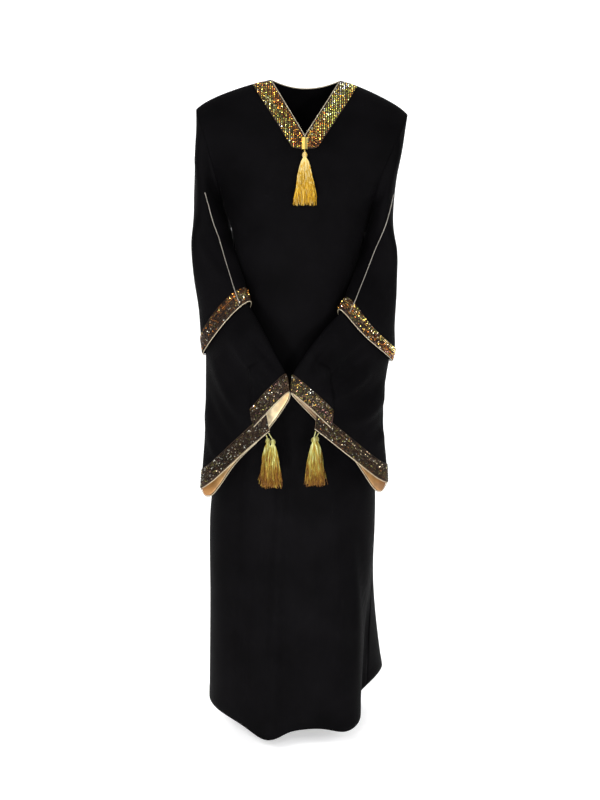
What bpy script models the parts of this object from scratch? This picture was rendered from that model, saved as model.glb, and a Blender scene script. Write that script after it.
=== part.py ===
"""Kaftan, worn: full-length body, bell sleeves under elbow-length over-sleeves, beaded bands, tassels.

Metres. +X is the viewer's right, -Y the front, +Z up. The origin is where the garment hangs from
the shoulders: level with the base of the neck, above the hollow. Left and right are the viewer's.
Every panel is laid out on a symmetric plan, and settle() then moves its points into the pose.
"""
import math
from collections import namedtuple

import bmesh
import bpy
from mathutils import Vector
from mathutils.bvhtree import BVHTree

# Walls and clearances
CLOTH = 0.0015
TRIM = 0.0012
FACING = 0.0008
LAY = 0.0004              # clearance under what lies on a panel
SEAM = 0.0002             # each panel stops this short of a shared seam line
PIPING = 0.0014           # radius of the gold piping
TRIM_LOW = CLOTH + LAY
TRIM_HIGH = TRIM_LOW + TRIM

# Neck, shoulders and length
NECK_HALF = 0.074
NECK_FRONT = 0.116
NECK_BACK = 0.018
SHOULDER_HALF = 0.224
SHOULDER_DROP = 0.0515
SHOULDER_CURVE = 1.35
CAP_DROP = 0.008          # the shoulder's end is rounded down by this much
CAP_CURVE = 9
UNDERARM = -0.245
UNDERARM_HALF = 0.160
HEM = -1.418
BULGE = 2.2               # exponent of the body's rounded sections
NECK_COLUMN = 0.1911      # column that runs through the neck's shoulder point
YOKE_HEIGHT = 0.20        # the shoulders reach their full depth this far down
YOKE_CURVE = 1.6
ARMHOLE_DEPTH = 0.055     # half the armhole's width, front to back
ARMHOLE_SHARE = 0.92      # most that it takes of the shoulders' depth

# Shares of the half panel at which its columns stand, and rows above the underarm
NECK_COLUMNS = (0.0, 0.05, 0.10, 0.15, NECK_COLUMN)
SIDE_COLUMNS = 8
YOKE_ROWS = 10
SKIRT_ROWS = (-0.31, -0.38, -0.45, -0.53, -0.62, -0.72, -0.84, -0.97, -1.11, -1.24, -1.34, HEM)

Level = namedtuple("Level", "z half front back")
BODY = (
    Level(-0.060, 0.160, 0.080, 0.090),
    Level(-0.120, 0.160, 0.098, 0.098),
    Level(-0.200, 0.160, 0.115, 0.102),
    Level(UNDERARM, UNDERARM_HALF, 0.118, 0.100),
    Level(-0.330, 0.137, 0.118, 0.092),
    Level(-0.430, 0.127, 0.110, 0.088),
    Level(-0.530, 0.134, 0.110, 0.095),
    Level(-0.620, 0.149, 0.112, 0.108),
    Level(-0.720, 0.165, 0.117, 0.118),
    Level(-0.820, 0.176, 0.123, 0.125),
    Level(-0.970, 0.186, 0.130, 0.132),
    Level(-1.170, 0.188, 0.136, 0.140),
    Level(HEM, 0.194, 0.142, 0.150),
)

# Skirt folds. Angles run from the front, positive to the viewer's right; depth is at the hem.
Fold = namedtuple("Fold", "angle width start power depth")
FOLDS = (
    Fold(80, 16, -0.95, 1.6, -0.045),
    Fold(118, 20, -1.00, 1.6, 0.045),
    Fold(-22, 12, -0.80, 1.2, 0.010),
    Fold(-6, 10, -0.80, 1.2, -0.006),
    Fold(150, 15, -0.60, 1.0, -0.012),
    Fold(178, 17, -0.55, 1.0, 0.014),
    Fold(-152, 16, -0.60, 1.0, -0.010),
    Fold(-122, 18, -0.65, 1.0, 0.012),
)
Droop = namedtuple("Droop", "angle width lift")
HEM_DROOPS = (
    Droop(-22, 20, -0.026),
    Droop(-58, 26, 0.005),
    Droop(-90, 34, 0.019),
    Droop(47, 16, -0.019),
    Droop(106, 25, 0.060),
)

# How the garment leans to one side and drops off the viewer's right shoulder
Pose = namedtuple("Pose", "z centre sleeve drop")
POSE = (
    Pose(0.000, 0.0120, 0.0060, 0.0060),
    Pose(-0.060, 0.0110, 0.0040, 0.0110),
    Pose(-0.120, 0.0100, -0.0010, 0.0150),
    Pose(-0.165, 0.0095, -0.0070, 0.0180),
    Pose(-0.245, 0.0090, -0.0135, 0.0205),
    Pose(-0.358, -0.0020, -0.0120, 0.0250),
    Pose(-0.457, -0.0120, -0.0080, 0.0370),
    Pose(-0.557, -0.0200, -0.0040, 0.0155),
    Pose(-0.600, -0.0220, -0.0065, 0.0120),
    Pose(-0.670, -0.0180, -0.0115, 0.0075),
    Pose(-0.850, -0.0150, -0.0120, 0.0000),
    Pose(-0.970, -0.0170, -0.0170, 0.0000),
    Pose(-1.450, -0.0160, -0.0160, 0.0000),
)
POSE_INNER = 0.05
POSE_OUTER = 0.22
DROP_WIDTH = 0.20

# Sleeve rings below the armhole, on the viewer's right: outer and inner ends, near and far depth
Ring = namedtuple("Ring", "outer inner near far")
RINGS = (
    Ring((0.2190, 0.002, -0.116), (0.1700, 0.000, -0.256), 0.058, 0.055),
    Ring((0.2140, 0.004, -0.182), (0.1620, -0.002, -0.270), 0.064, 0.058),
    Ring((0.2110, 0.006, -0.258), (0.1500, -0.006, -0.298), 0.070, 0.062),
    Ring((0.2005, 0.008, -0.340), (0.1480, -0.022, -0.332), 0.070, 0.050),
    Ring((0.1900, 0.006, -0.430), (0.1330, -0.052, -0.372), 0.064, 0.044),
    Ring((0.1935, -0.004, -0.505), (0.1180, -0.088, -0.408), 0.050, 0.030),
    Ring((0.1978, -0.016, -0.556), (0.1090, -0.108, -0.427), 0.043, 0.027),
    Ring((0.1990, -0.024, -0.583), (0.0970, -0.124, -0.452), 0.036, 0.026),
    Ring((0.1885, -0.045, -0.655), (0.0700, -0.150, -0.500), 0.035, 0.022),
    Ring((0.1905, -0.064, -0.740), (0.0360, -0.174, -0.552), 0.032, 0.019),
    Ring((0.1985, -0.080, -0.810), (0.0100, -0.186, -0.592), 0.027, 0.016),
    Ring((0.2010, -0.088, -0.850), (0.0040, -0.190, -0.628), 0.024, 0.014),
)
# How much lower the near side of a ring hangs than its ends
Sag = namedtuple("Sag", "ring left right")
SAGS = (
    Sag(10, 0.000, 0.000),
    Sag(9, 0.004, 0.008),
    Sag(8, 0.012, 0.021),
    Sag(7, 0.016, 0.030),
    Sag(6, 0.004, 0.010),
    Sag(5, 0.000, 0.000),
)
SAG_POWER = 1.5
OVER_TRIM_RING = 7        # rings count from the armhole, 0
OVER_HEM_RING = 8
SLIT_RING = 10
CUFF_TRIM_RING = 11
CUFF_HEM_RING = 12
AROUND = 20               # columns round a sleeve; also twice the yoke's rows
STEP = 360 // AROUND
SLIT_ANGLE = 126          # angles run round a sleeve from its outer edge over the near side
FLAP_COLUMNS = 3
INSET = 0.0065            # the long sleeve runs this far inside the over-sleeve
BODY_ROOM = 0.007         # sleeves hang this far off the body's sides
BODY_ROOM_HEIGHT = 0.05

# Cuff slit: its flap overlaps the hanging side and stands off it
SLIT_OPEN = 0.08          # share of the way to the trim at which the slit's edges have parted
SLIT_PART = 0.0028
FLAP_LIFT_TOP = 0.0030
FLAP_LIFT = 0.0070
FLAP_OVERLAP = 15.0       # degrees

# How far the cuff's hem runs past its ring, round the sleeve from the slit's hanging edge
Reach = namedtuple("Reach", "angle left right")
REACHES = (
    Reach(126, 0.045, 0.040),
    Reach(54, 0.034, 0.026),
    Reach(0, 0.022, 0.008),
    Reach(-36, 0.058, 0.048),
    Reach(-72, 0.044, 0.020),
    Reach(-108, 0.040, 0.012),
    Reach(-144, 0.022, 0.010),
    Reach(-162, 0.014, 0.008),
    Reach(-180, 0.004, 0.006),
    Reach(-234, 0.013, 0.012),
)

# Neck bands on the plan: outer line and blunt bottom in front, two lines behind
BAND_TOP = (0.093, -0.0354)
BAND_LOW = (0.030, -0.131)
BAND_END = -0.139
BACK_BAND_TOP = (0.108, -0.0122)
BACK_BAND_LOW = (0.062, -0.058)
TAB_HALF = 0.004
TAB_END = -0.140
TAB_HIGH = 0.0039

# Piping of each over-sleeve's slit, seen from the front
Slit = namedtuple("Slit", "top bottom")
SLITS = {
    "left": Slit((-0.2015, -0.230), (-0.1255, -0.458)),
    "right": Slit((0.1960, -0.236), (0.1030, -0.477)),
}
SLIT_POINTS = 41
SLIT_DEPTH = -0.30        # the slits' points are looked for from in front of the sleeve
SLIT_LIFT = 0.0009
SLIT_STEP = 0.012         # the piping is up on the band this far above it, and starts to climb twice as far

# Tassels: a knot, a cord above it and locks below
Tassel = namedtuple("Tassel", "length wide deep cord lean")
NECK_TASSEL = Tassel(0.112, 0.0280, 0.0095, 0.004, 0.026)
CUFF_TASSEL = Tassel(0.116, 0.0200, 0.0110, 0.010, 0.0)
KNOT = 0.0065
KNOT_SIDES = 8
KNOT_RINGS = 6
KNOT_CROWN = 0.80         # shares of the knot's radius: above this its faces run up into the cord,
KNOT_ROOTS = -0.50        # below this they grow locks,
KNOT_CORE = -0.85         # and below this the locks of the core
CORD_RADIUS = 0.0014
CORD_DROP = 0.0035        # from the piping's middle down to the end of a tassel's cord
LOCK_INSET = 0.0003
LOCK_FILL = 0.80          # share of its place round the tassel that a lock takes
Stage = namedtuple("Stage", "down flare lean")
LOCK_STAGES = (Stage(0.45, 0.75, 0.7), Stage(1.0, 1.0, 1.0))
Layer = namedtuple("Layer", "ring thick")
OUTER_LOCKS = Layer(0.80, 0.20)
CORE_LOCKS = Layer(0.36, 0.10)

# Where the cuff tassels hang: share along the cuff's first edge, then the knot's shift
Hang = namedtuple("Hang", "side name along across back")
CUFF_TASSELS = (
    Hang("left", "inner", 0.06, 0.009, -0.013),
    Hang("left", "outer", 0.24, 0.003, 0.013),
    Hang("right", "front", 0.06, -0.004, -0.013),
    Hang("right", "back", 0.24, -0.004, 0.013),
)
NECK_TASSEL_SWING = (0, -0.013, 0)

Finish = namedtuple("Finish", "colour roughness metallic")
FINISHES = {
    "black_georgette": Finish((0.006, 0.006, 0.007, 1), 0.72, 0.0),
    "bead_band": Finish((0.230, 0.140, 0.035, 1), 0.35, 0.6),
    "gold_piping": Finish((0.620, 0.470, 0.200, 1), 0.40, 0.7),
    "gold_satin": Finish((0.700, 0.520, 0.280, 1), 0.38, 0.2),
    "gold_thread": Finish((0.720, 0.440, 0.050, 1), 0.45, 0.2),
}

COLLECTION = "kaftan"
ROUNDING = 1e-3           # shares closer than this are the same
SAME_POINT = 0.00005      # points this close to each other are shared


def smooth(share):
    share = min(max(share, 0.0), 1.0)
    return share * share * (3 - 2 * share)


def read(table, column, at):
    """Smooth value of a named column where the table's first column is `at`."""
    keys = [row[0] for row in table]
    values = [getattr(row, column) for row in table]
    turn = 1 if keys[-1] > keys[0] else -1
    if (at - keys[0]) * turn <= 0:
        return values[0]
    if (at - keys[-1]) * turn >= 0:
        return values[-1]
    last = len(keys) - 1
    i = next(i for i in range(last) if (at - keys[i + 1]) * turn <= 0)

    def slope(j):
        low, high = max(j - 1, 0), min(j + 1, last)
        return (values[high] - values[low]) / (keys[high] - keys[low])

    span = keys[i + 1] - keys[i]
    t = (at - keys[i]) / span
    blend = t * t * (3 - 2 * t)
    bend = t * (1 - t) * span * ((1 - t) * slope(i) - t * slope(i + 1))
    return values[i] + (values[i + 1] - values[i]) * blend + bend


def settle(point):
    """Move a point of the symmetric plan into the worn pose."""
    x, y, z = point
    out = smooth((abs(x) - POSE_INNER) / (POSE_OUTER - POSE_INNER))
    centre = read(POSE, "centre", z)
    lean = centre + (read(POSE, "sleeve", z) - centre) * out
    return Vector((x + lean, y, z - read(POSE, "drop", z) * smooth(x / DROP_WIDTH)))


# Body panels

def shoulder_line(x):
    over = max(abs(x) - NECK_HALF, 0.0) / (SHOULDER_HALF - NECK_HALF)
    return -SHOULDER_DROP * over ** SHOULDER_CURVE - CAP_DROP * over ** CAP_CURVE


def top_line(x, side):
    """Height of a panel's top edge: neckline inside the neck point, shoulder seam outside it."""
    inside = abs(x) / NECK_HALF
    if inside > 1 - ROUNDING:
        return shoulder_line(x)
    if side < 0:
        return -NECK_FRONT * (1 - inside)
    return -NECK_BACK * (1 - inside * inside)


def section(column):
    """Share of the half width and of the depth at a column of the body, -1 to 1."""
    angle = column * math.pi / 2
    across = math.copysign(abs(math.sin(angle)) ** (2 / BULGE), column)
    return across, abs(math.cos(angle)) ** (2 / BULGE)


def yoke_share(row):
    """Share of the way to the underarm at a yoke row, closer near its ends, as round an ellipse."""
    return (1 - math.cos(math.pi * row / YOKE_ROWS)) / 2


def armhole_half(share):
    return UNDERARM_HALF + (SHOULDER_HALF - UNDERARM_HALF) * (1 - share) ** SHOULDER_CURVE


def yoke_depth(x, z, side):
    """Depth of the chest or back below the shoulder line, before its section rounds off."""
    under = min(max((shoulder_line(x) - z) / YOKE_HEIGHT, 0.0), 1.0)
    roundness = (1 - (1 - under) ** YOKE_CURVE) ** (1 / YOKE_CURVE)
    return read(BODY, "front" if side < 0 else "back", z) * roundness


def yoke_reach(share, side):
    """Half width at which the yoke's section closes, wide enough to give the armhole its depth."""
    half = armhole_half(share)
    end = SHOULDER_DROP + CAP_DROP
    depth = yoke_depth(half, (UNDERARM + end) * share - end, side)
    wanted = ARMHOLE_DEPTH * 2 * math.sqrt(share * (1 - share))
    ratio = min(wanted / depth, ARMHOLE_SHARE) if depth > 0 else ARMHOLE_SHARE
    return half / (1 - ratio ** BULGE) ** (1 / BULGE)


def yoke_point(column, share, side):
    """A point above the underarm, `share` of the way down to it; side is -1 in front."""
    across = section(column)[0]
    x = across * armhole_half(share)
    top = top_line(across * SHOULDER_HALF, side)
    z = top + (UNDERARM - top) * share
    rim = max(1 - (abs(x) / yoke_reach(share, side)) ** BULGE, 0.0) ** (1 / BULGE)
    return Vector((x, side * yoke_depth(x, z, side) * rim, z))


def skirt_point(column, level, side):
    across, deep = section(column)
    half = read(BODY, "half", level)
    depth = read(BODY, "front" if side < 0 else "back", level)
    point = Vector((across * half, side * depth * deep, level))
    angle = math.degrees(math.atan2(point.x, -point.y))
    out = Vector((point.x / half ** 2, point.y / depth ** 2, 0)).normalized()
    for fold in FOLDS:
        share = min(max((fold.start - level) / (fold.start - HEM), 0.0), 1.0)
        away = (angle - fold.angle + 180) % 360 - 180
        wave = math.exp(-(away / fold.width) ** 2)
        point += out * fold.depth * wave * share ** fold.power
    fall = smooth((UNDERARM - level) / (UNDERARM - HEM)) ** 2
    for droop in HEM_DROOPS:
        away = (angle - droop.angle + 180) % 360 - 180
        point.z += droop.lift * math.exp(-(away / droop.width) ** 2) * fall
    return point


def body_columns():
    sides = [NECK_COLUMN + (1 - NECK_COLUMN) * i / SIDE_COLUMNS for i in range(1, SIDE_COLUMNS + 1)]
    half = list(NECK_COLUMNS) + sides
    return [-column for column in reversed(half[1:])] + half


def body_plan(side):
    """Rows of plan points, top to hem. The back's columns run the other way, so out stays out."""
    columns = body_columns()
    if side > 0:
        columns.reverse()
    shares = [yoke_share(row) for row in range(YOKE_ROWS + 1)]
    rows = [[yoke_point(column, share, side) for column in columns] for share in shares]
    rows += [[skirt_point(column, level, side) for column in columns] for level in SKIRT_ROWS]
    return rows


# Sleeves

def armhole(angle):
    """Point of the armhole seam on the viewer's right, by the angle of the sleeve's column."""
    index = round(angle / STEP) % AROUND
    side = -1 if index <= YOKE_ROWS else 1
    row = min(index, AROUND - index)
    return yoke_point(1.0, yoke_share(row), side)


def ring_centre(ring):
    if ring == 0:
        return (armhole(0) + armhole(180)) / 2
    row = RINGS[ring - 1]
    return (Vector(row.outer) + Vector(row.inner)) / 2


def clear_of_body(point):
    """Push a sleeve's point out to where it hangs against the body's side."""
    room = BODY_ROOM * smooth((UNDERARM - point.z) / BODY_ROOM_HEIGHT)
    if room <= 0:
        return point
    half = read(BODY, "half", point.z) + room
    depth = read(BODY, "front" if point.y < 0 else "back", point.z) + room
    inside = (abs(point.x) / half) ** BULGE + (abs(point.y) / depth) ** BULGE
    if inside >= 1:
        return point
    grow = inside ** (-1 / BULGE)
    return Vector((point.x * grow, point.y * grow, point.z))


def ring_point(ring, angle, side):
    """A point of a sleeve ring; ring 0 is the armhole."""
    if ring == 0:
        return armhole(angle)
    row = RINGS[ring - 1]
    centre = ring_centre(ring)
    reach = Vector(row.outer) - centre
    along = ring_centre(min(ring + 1, len(RINGS))) - ring_centre(ring - 1)
    near = along.cross(reach).normalized()
    sine = math.sin(math.radians(angle))
    depth = row.near if sine > 0 else row.far
    point = clear_of_body(centre + reach * math.cos(math.radians(angle)) + near * depth * sine)
    point.z -= read(SAGS, side, ring) * max(sine, 0.0) ** SAG_POWER
    return point


def over_sleeve_plan(side):
    angles = [STEP * i for i in range(AROUND + 1)]
    return [[ring_point(ring, angle, side) for angle in angles] for ring in range(OVER_HEM_RING + 1)]


def long_sleeve_angles():
    return [SLIT_ANGLE - STEP * i for i in range(AROUND + 1)]


def over_inset(ring):
    """Long sleeve's distance inside the over-sleeve's surface."""
    seam = CLOTH + 2 * LAY
    return seam + (INSET - seam) * min(ring / 2, 1.0)


def long_sleeve_plan(side):
    """Rows of plan points; from the slit down, the first and last columns part."""
    angles = long_sleeve_angles()
    over = over_sleeve_plan(side)
    outs = outward(over, 1)
    rows = []
    for ring in range(OVER_HEM_RING + 1):
        columns = [round(angle / STEP) % AROUND for angle in angles]
        rows.append([over[ring][c] - outs[ring][c] * over_inset(ring) for c in columns])
    rows += [[ring_point(ring, angle, side) for angle in angles] for ring in (OVER_HEM_RING + 1, SLIT_RING)]
    rows.append(slit_row(rows[-1], cuff_row(CUFF_TRIM_RING, side)))
    rows.append(cuff_row(CUFF_TRIM_RING, side))
    rows.append(cuff_row(CUFF_HEM_RING, side))
    return rows


def flap_share(column):
    return max(column - (AROUND - FLAP_COLUMNS), 0) / FLAP_COLUMNS


def cuff_row(ring, side):
    """A row of the cuff, moved down its own columns by the hem's reach, with the flap lifted."""
    row = []
    for i, angle in enumerate(long_sleeve_angles()):
        flap = flap_share(i)
        turned = angle + (-FLAP_OVERLAP if flap else 0) * flap
        point = ring_point(ring, turned, side)
        along = ring_point(CUFF_HEM_RING, turned, side) - ring_point(CUFF_TRIM_RING, turned, side)
        point += along.normalized() * read(REACHES, side, angle)
        out = flap_out(ring)
        row.append(point + out * FLAP_LIFT * smooth(flap))
    return row


def flap_out(ring):
    row = RINGS[ring - 1]
    along = ring_centre(min(ring + 1, len(RINGS))) - ring_centre(ring - 1)
    return along.cross(Vector(row.outer) - ring_centre(ring)).normalized()


def slit_row(above, below):
    """The row just under the slit's top, where its edges have parted."""
    out = flap_out(SLIT_RING)
    row = []
    for i, (high, low) in enumerate(zip(above, below)):
        flap = flap_share(i)
        lift = out * (FLAP_LIFT_TOP - FLAP_LIFT * SLIT_OPEN) * smooth(flap)
        row.append(high.lerp(low, SLIT_OPEN) + lift)
    apart = (above[1] - above[-2]).normalized()
    row[0] += apart * SLIT_PART
    row[-1] -= apart * SLIT_PART
    return row


def mirrored(plan):
    return [[Vector((-point.x, point.y, point.z)) for point in row] for row in plan]


# Surfaces and walls

def outward(rows, turn, joined=None):
    """Unit normals of a grid of points; `turn` is 1 or -1. Joined rows wrap round."""
    joined = len(rows) if joined is None else joined
    last_row, last = len(rows) - 1, len(rows[0]) - 1
    outs = []
    for r, row in enumerate(rows):
        line = []
        for c in range(last + 1):
            down = rows[min(r + 1, last_row)][c] - rows[max(r - 1, 0)][c]
            if r < joined and c in (0, last):
                across = row[1] - row[last - 1]
            else:
                across = row[min(c + 1, last)] - row[max(c - 1, 0)]
            line.append(down.cross(across).normalized() * -turn)
        outs.append(line)
    return outs


class Panel:
    """Plan points, the same points in the pose, and the outward direction at each."""

    def __init__(self, plan, turn, joined=0):
        self.plan = plan
        self.joined = joined
        self.place = [[settle(point) for point in row] for row in plan]
        self.out = outward(self.place, turn, joined)

    def part(self, rows, columns=None):
        """A cut-out of the panel with the same points."""
        columns = columns or (0, len(self.plan[0]))
        piece = Panel.__new__(Panel)
        first, last = rows
        piece.joined = max(min(self.joined, last) - first, 0)
        for name in ("plan", "place", "out"):
            grid = getattr(self, name)
            setattr(piece, name, [row[slice(*columns)] for row in grid[first:last]])
        return piece


def share_seams(groups):
    """Give the points that panels share one outward direction, each group counting once."""
    totals = {}
    for group in groups:
        sums = {}
        for panel in group:
            for row, outs in zip(panel.place, panel.out):
                for point, out in zip(row, outs):
                    sums.setdefault(seam_key(point), Vector())
                    sums[seam_key(point)] += out
        for key, total in sums.items():
            totals[key] = totals.get(key, Vector()) + total.normalized()
    for group in groups:
        for panel in group:
            for row, outs in zip(panel.place, panel.out):
                outs[:] = [totals[seam_key(point)].normalized() for point in row]


def seam_key(point):
    return tuple(round(value / SAME_POINT) for value in point)


def pull_row(panel, r, towards, columns=None):
    for c in columns or range(len(panel.place[r])):
        gap = panel.place[towards][c] - panel.place[r][c]
        panel.place[r][c] = panel.place[r][c] + gap.normalized() * SEAM


def pull_column(panel, c, towards):
    for r, row in enumerate(panel.place):
        row[c] = row[c] + (row[towards] - row[c]).normalized() * SEAM


def sheet(panel):
    """The panel as an open mesh at its plan points, with its place and direction as layers."""
    height, width = len(panel.plan), len(panel.plan[0])
    mesh = bmesh.new()
    bmesh.ops.create_grid(mesh, x_segments=width - 1, y_segments=height - 1, size=1)
    place = mesh.verts.layers.float_vector.new("place")
    out = mesh.verts.layers.float_vector.new("out")
    mesh.verts.ensure_lookup_table()
    welds = {}
    for r in range(height):
        for c in range(width):
            vert = mesh.verts[r * width + c]
            vert.co = panel.plan[r][c]
            vert[place] = panel.place[r][c]
            vert[out] = panel.out[r][c]
        if r < panel.joined:
            welds[mesh.verts[r * width + width - 1]] = mesh.verts[r * width]
    bmesh.ops.triangulate(mesh, faces=mesh.faces, quad_method="SHORT_EDGE")
    if welds:
        bmesh.ops.weld_verts(mesh, targetmap=welds)
    return mesh


def cut(mesh, point, normal):
    """Keep the side of a plane of the plan that its normal points away from."""
    geometry = mesh.verts[:] + mesh.edges[:] + mesh.faces[:]
    bmesh.ops.bisect_plane(mesh, geom=geometry, dist=1e-6, plane_co=point, plane_no=normal, clear_outer=True)
    bmesh.ops.triangulate(mesh, faces=[face for face in mesh.faces if len(face.verts) > 3])


def thicken(mesh, low, high):
    """Turn an open sheet into a closed wall between two lifts along its outward direction."""
    place = mesh.verts.layers.float_vector["place"]
    out = mesh.verts.layers.float_vector["out"]
    rim = [edge for edge in mesh.edges if edge.is_boundary]
    outer = mesh.verts[:]
    geometry = mesh.verts[:] + mesh.edges[:] + mesh.faces[:]
    copy = bmesh.ops.duplicate(mesh, geom=geometry)
    inner = {vert: copy["vert_map"][vert] for vert in outer}
    copied = [item for item in copy["geom"] if isinstance(item, bmesh.types.BMFace)]
    bmesh.ops.reverse_faces(mesh, faces=copied)
    for edge in rim:
        one, two = edge.verts
        mesh.faces.new((one, two, inner[two]))
        mesh.faces.new((one, inner[two], inner[one]))
    for vert in outer:
        inner[vert].co = vert[place] + vert[out].normalized() * low
        vert.co = vert[place] + vert[out].normalized() * high
    bmesh.ops.recalc_face_normals(mesh, faces=mesh.faces)


def material(name):
    if name in bpy.data.materials:
        return bpy.data.materials[name]
    finish = FINISHES[name]
    made = bpy.data.materials.new(name)
    made.use_nodes = True
    shader = made.node_tree.nodes["Principled BSDF"]
    shader.inputs["Base Color"].default_value = finish.colour
    shader.inputs["Roughness"].default_value = finish.roughness
    shader.inputs["Metallic"].default_value = finish.metallic
    return made


def add_object(name, data, finish):
    data.materials.append(material(finish))
    made = bpy.data.objects.new(name, data)
    bpy.data.collections[COLLECTION].objects.link(made)
    return made


def add_mesh(name, mesh, finish):
    data = bpy.data.meshes.new(name)
    mesh.to_mesh(data)
    mesh.free()
    return add_object(name, data, finish)


def add_wall(name, panel, low, high, finish, cuts=()):
    mesh = sheet(panel)
    for point, normal in cuts:
        cut(mesh, point, normal)
    thicken(mesh, low, high)
    return add_mesh(name, mesh, finish)


def add_piping(name, points, closed):
    """A round cord along a line of points."""
    curve = bpy.data.curves.new(name, "CURVE")
    curve.dimensions = "3D"
    curve.bevel_depth = PIPING
    curve.bevel_resolution = 1
    curve.use_fill_caps = True
    spline = curve.splines.new("POLY")
    spline.points.add(len(points) - 1)
    for spot, point in zip(spline.points, points):
        spot.co = (*point, 1)
    spline.use_cyclic_u = closed
    return add_object(name, curve, "gold_piping")


def edge_line(edge, outs, inside, lift, closed):
    """Points just past a panel's edge, clear of it, in the middle of its thickness."""
    count = len(edge)
    aways, turns = [], []
    for i, point in enumerate(edge):
        before = edge[i - 1] if closed or i else point
        after = edge[(i + 1) % count] if closed or i < count - 1 else point
        aways.append((after - before).cross(outs[i]).normalized())
        bend = 0.0 if before is point or after is point else (point - before).angle(after - point)
        turns.append(math.cos(min(bend / 2, math.pi / 3)))
    side = sum(away.dot(point - within) for away, point, within in zip(aways, edge, inside))
    reach = math.copysign(PIPING + LAY, side)
    return [point + out * lift + away * reach / turn
            for point, out, away, turn in zip(edge, outs, aways, turns)]


# Pieces

def make_sleeves():
    """Panels of the over-sleeves and long sleeves, by side."""
    panels = {}
    for side, turn in (("left", -1), ("right", 1)):
        over = over_sleeve_plan(side)
        long = long_sleeve_plan(side)
        if side == "left":
            over, long = mirrored(over), mirrored(long)
        panels[side] = (Panel(over, turn, len(over)), Panel(long, -turn, SLIT_RING + 1))
    return panels


def pull_body(panel):
    """Clear the shoulder, armhole and side seams."""
    width = len(panel.place[0])
    columns = body_columns()
    shoulder = [c for c in range(width) if abs(columns[c]) >= NECK_COLUMN - ROUNDING]
    pull_row(panel, 0, 1, shoulder)
    pull_column(panel, 0, 1)
    pull_column(panel, width - 1, width - 2)


def neck_bands(front, back):
    top, low = Vector((BAND_TOP[0], 0, BAND_TOP[1])), Vector((BAND_LOW[0], 0, BAND_LOW[1]))
    run = low - top
    yoke = front.part((0, YOKE_ROWS + 1))
    for side, sign in (("left", -1), ("right", 1)):
        cuts = (
            (Vector((sign * top.x, 0, top.z)), Vector((-sign * run.z, 0, run.x))),
            (Vector((sign * (TAB_HALF + LAY), 0, 0)), Vector((-sign, 0, 0))),
            (Vector((0, 0, BAND_END)), Vector((0, 0, -1))),
        )
        add_wall(f"neck_trim_{side}", yoke, TRIM_LOW, TRIM_HIGH, "bead_band", cuts)
    tab = (
        (Vector((TAB_HALF, 0, 0)), Vector((1, 0, 0))),
        (Vector((-TAB_HALF, 0, 0)), Vector((-1, 0, 0))),
        (Vector((0, 0, TAB_END)), Vector((0, 0, -1))),
    )
    add_wall("neck_tab", yoke, TRIM_LOW, TAB_HIGH, "gold_piping", tab)
    (x_top, z_top), (x_low, z_low) = BACK_BAND_TOP, BACK_BAND_LOW
    behind = [(Vector((0, 0, z_low)), Vector((0, 0, -1)))]
    for sign in (-1, 1):
        outward_normal = Vector((sign * (z_top - z_low), 0, x_low - x_top))
        behind.append((Vector((sign * x_top, 0, z_top)), outward_normal))
    add_wall("neck_trim_back", back.part((0, YOKE_ROWS + 1)), TRIM_LOW, TRIM_HIGH, "bead_band", behind)


def neck_piping(front, back):
    """One cord round the neck edge: down the V and back behind."""
    columns = body_columns()
    neck = [c for c, column in enumerate(columns) if abs(column) <= NECK_COLUMN + ROUNDING]
    edge = [(front, c) for c in neck]
    edge += [(back, c) for c in neck[1:-1]]
    points = edge_line(
        [panel.place[0][c] for panel, c in edge],
        [panel.out[0][c] for panel, c in edge],
        [panel.place[1][c] for panel, c in edge],
        TRIM_HIGH / 2, True)
    add_piping("neck_piping", points, True)


def tree_of(piece):
    corners = [vert.co for vert in piece.data.vertices]
    return BVHTree.FromPolygons(corners, [tuple(face.vertices) for face in piece.data.polygons])


def slit_piping(side, sleeve, band):
    """A cord laid on the over-sleeve and over its band, straight as seen from the front."""
    tree, band_tree = tree_of(sleeve), tree_of(band)
    slit = SLITS[side]
    points = []
    for i in range(SLIT_POINTS):
        share = i / (SLIT_POINTS - 1)
        x = slit.top[0] + (slit.bottom[0] - slit.top[0]) * share
        z = slit.top[1] + (slit.bottom[1] - slit.top[1]) * share
        spot, normal = tree.find_nearest(Vector((x, SLIT_DEPTH, z)))[:2]
        hit, face, _, _ = tree.ray_cast(Vector((x, SLIT_DEPTH, z)), Vector((0, 1, 0)))
        if hit is not None:
            spot, normal = hit, face
        climb = smooth(2 - band_tree.find_nearest(spot)[3] / SLIT_STEP)
        lift = PIPING + SLIT_LIFT + (TRIM_HIGH - CLOTH) * climb
        points.append(spot + normal * lift)
    add_piping(f"slit_piping_{side}", points, False)


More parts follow.
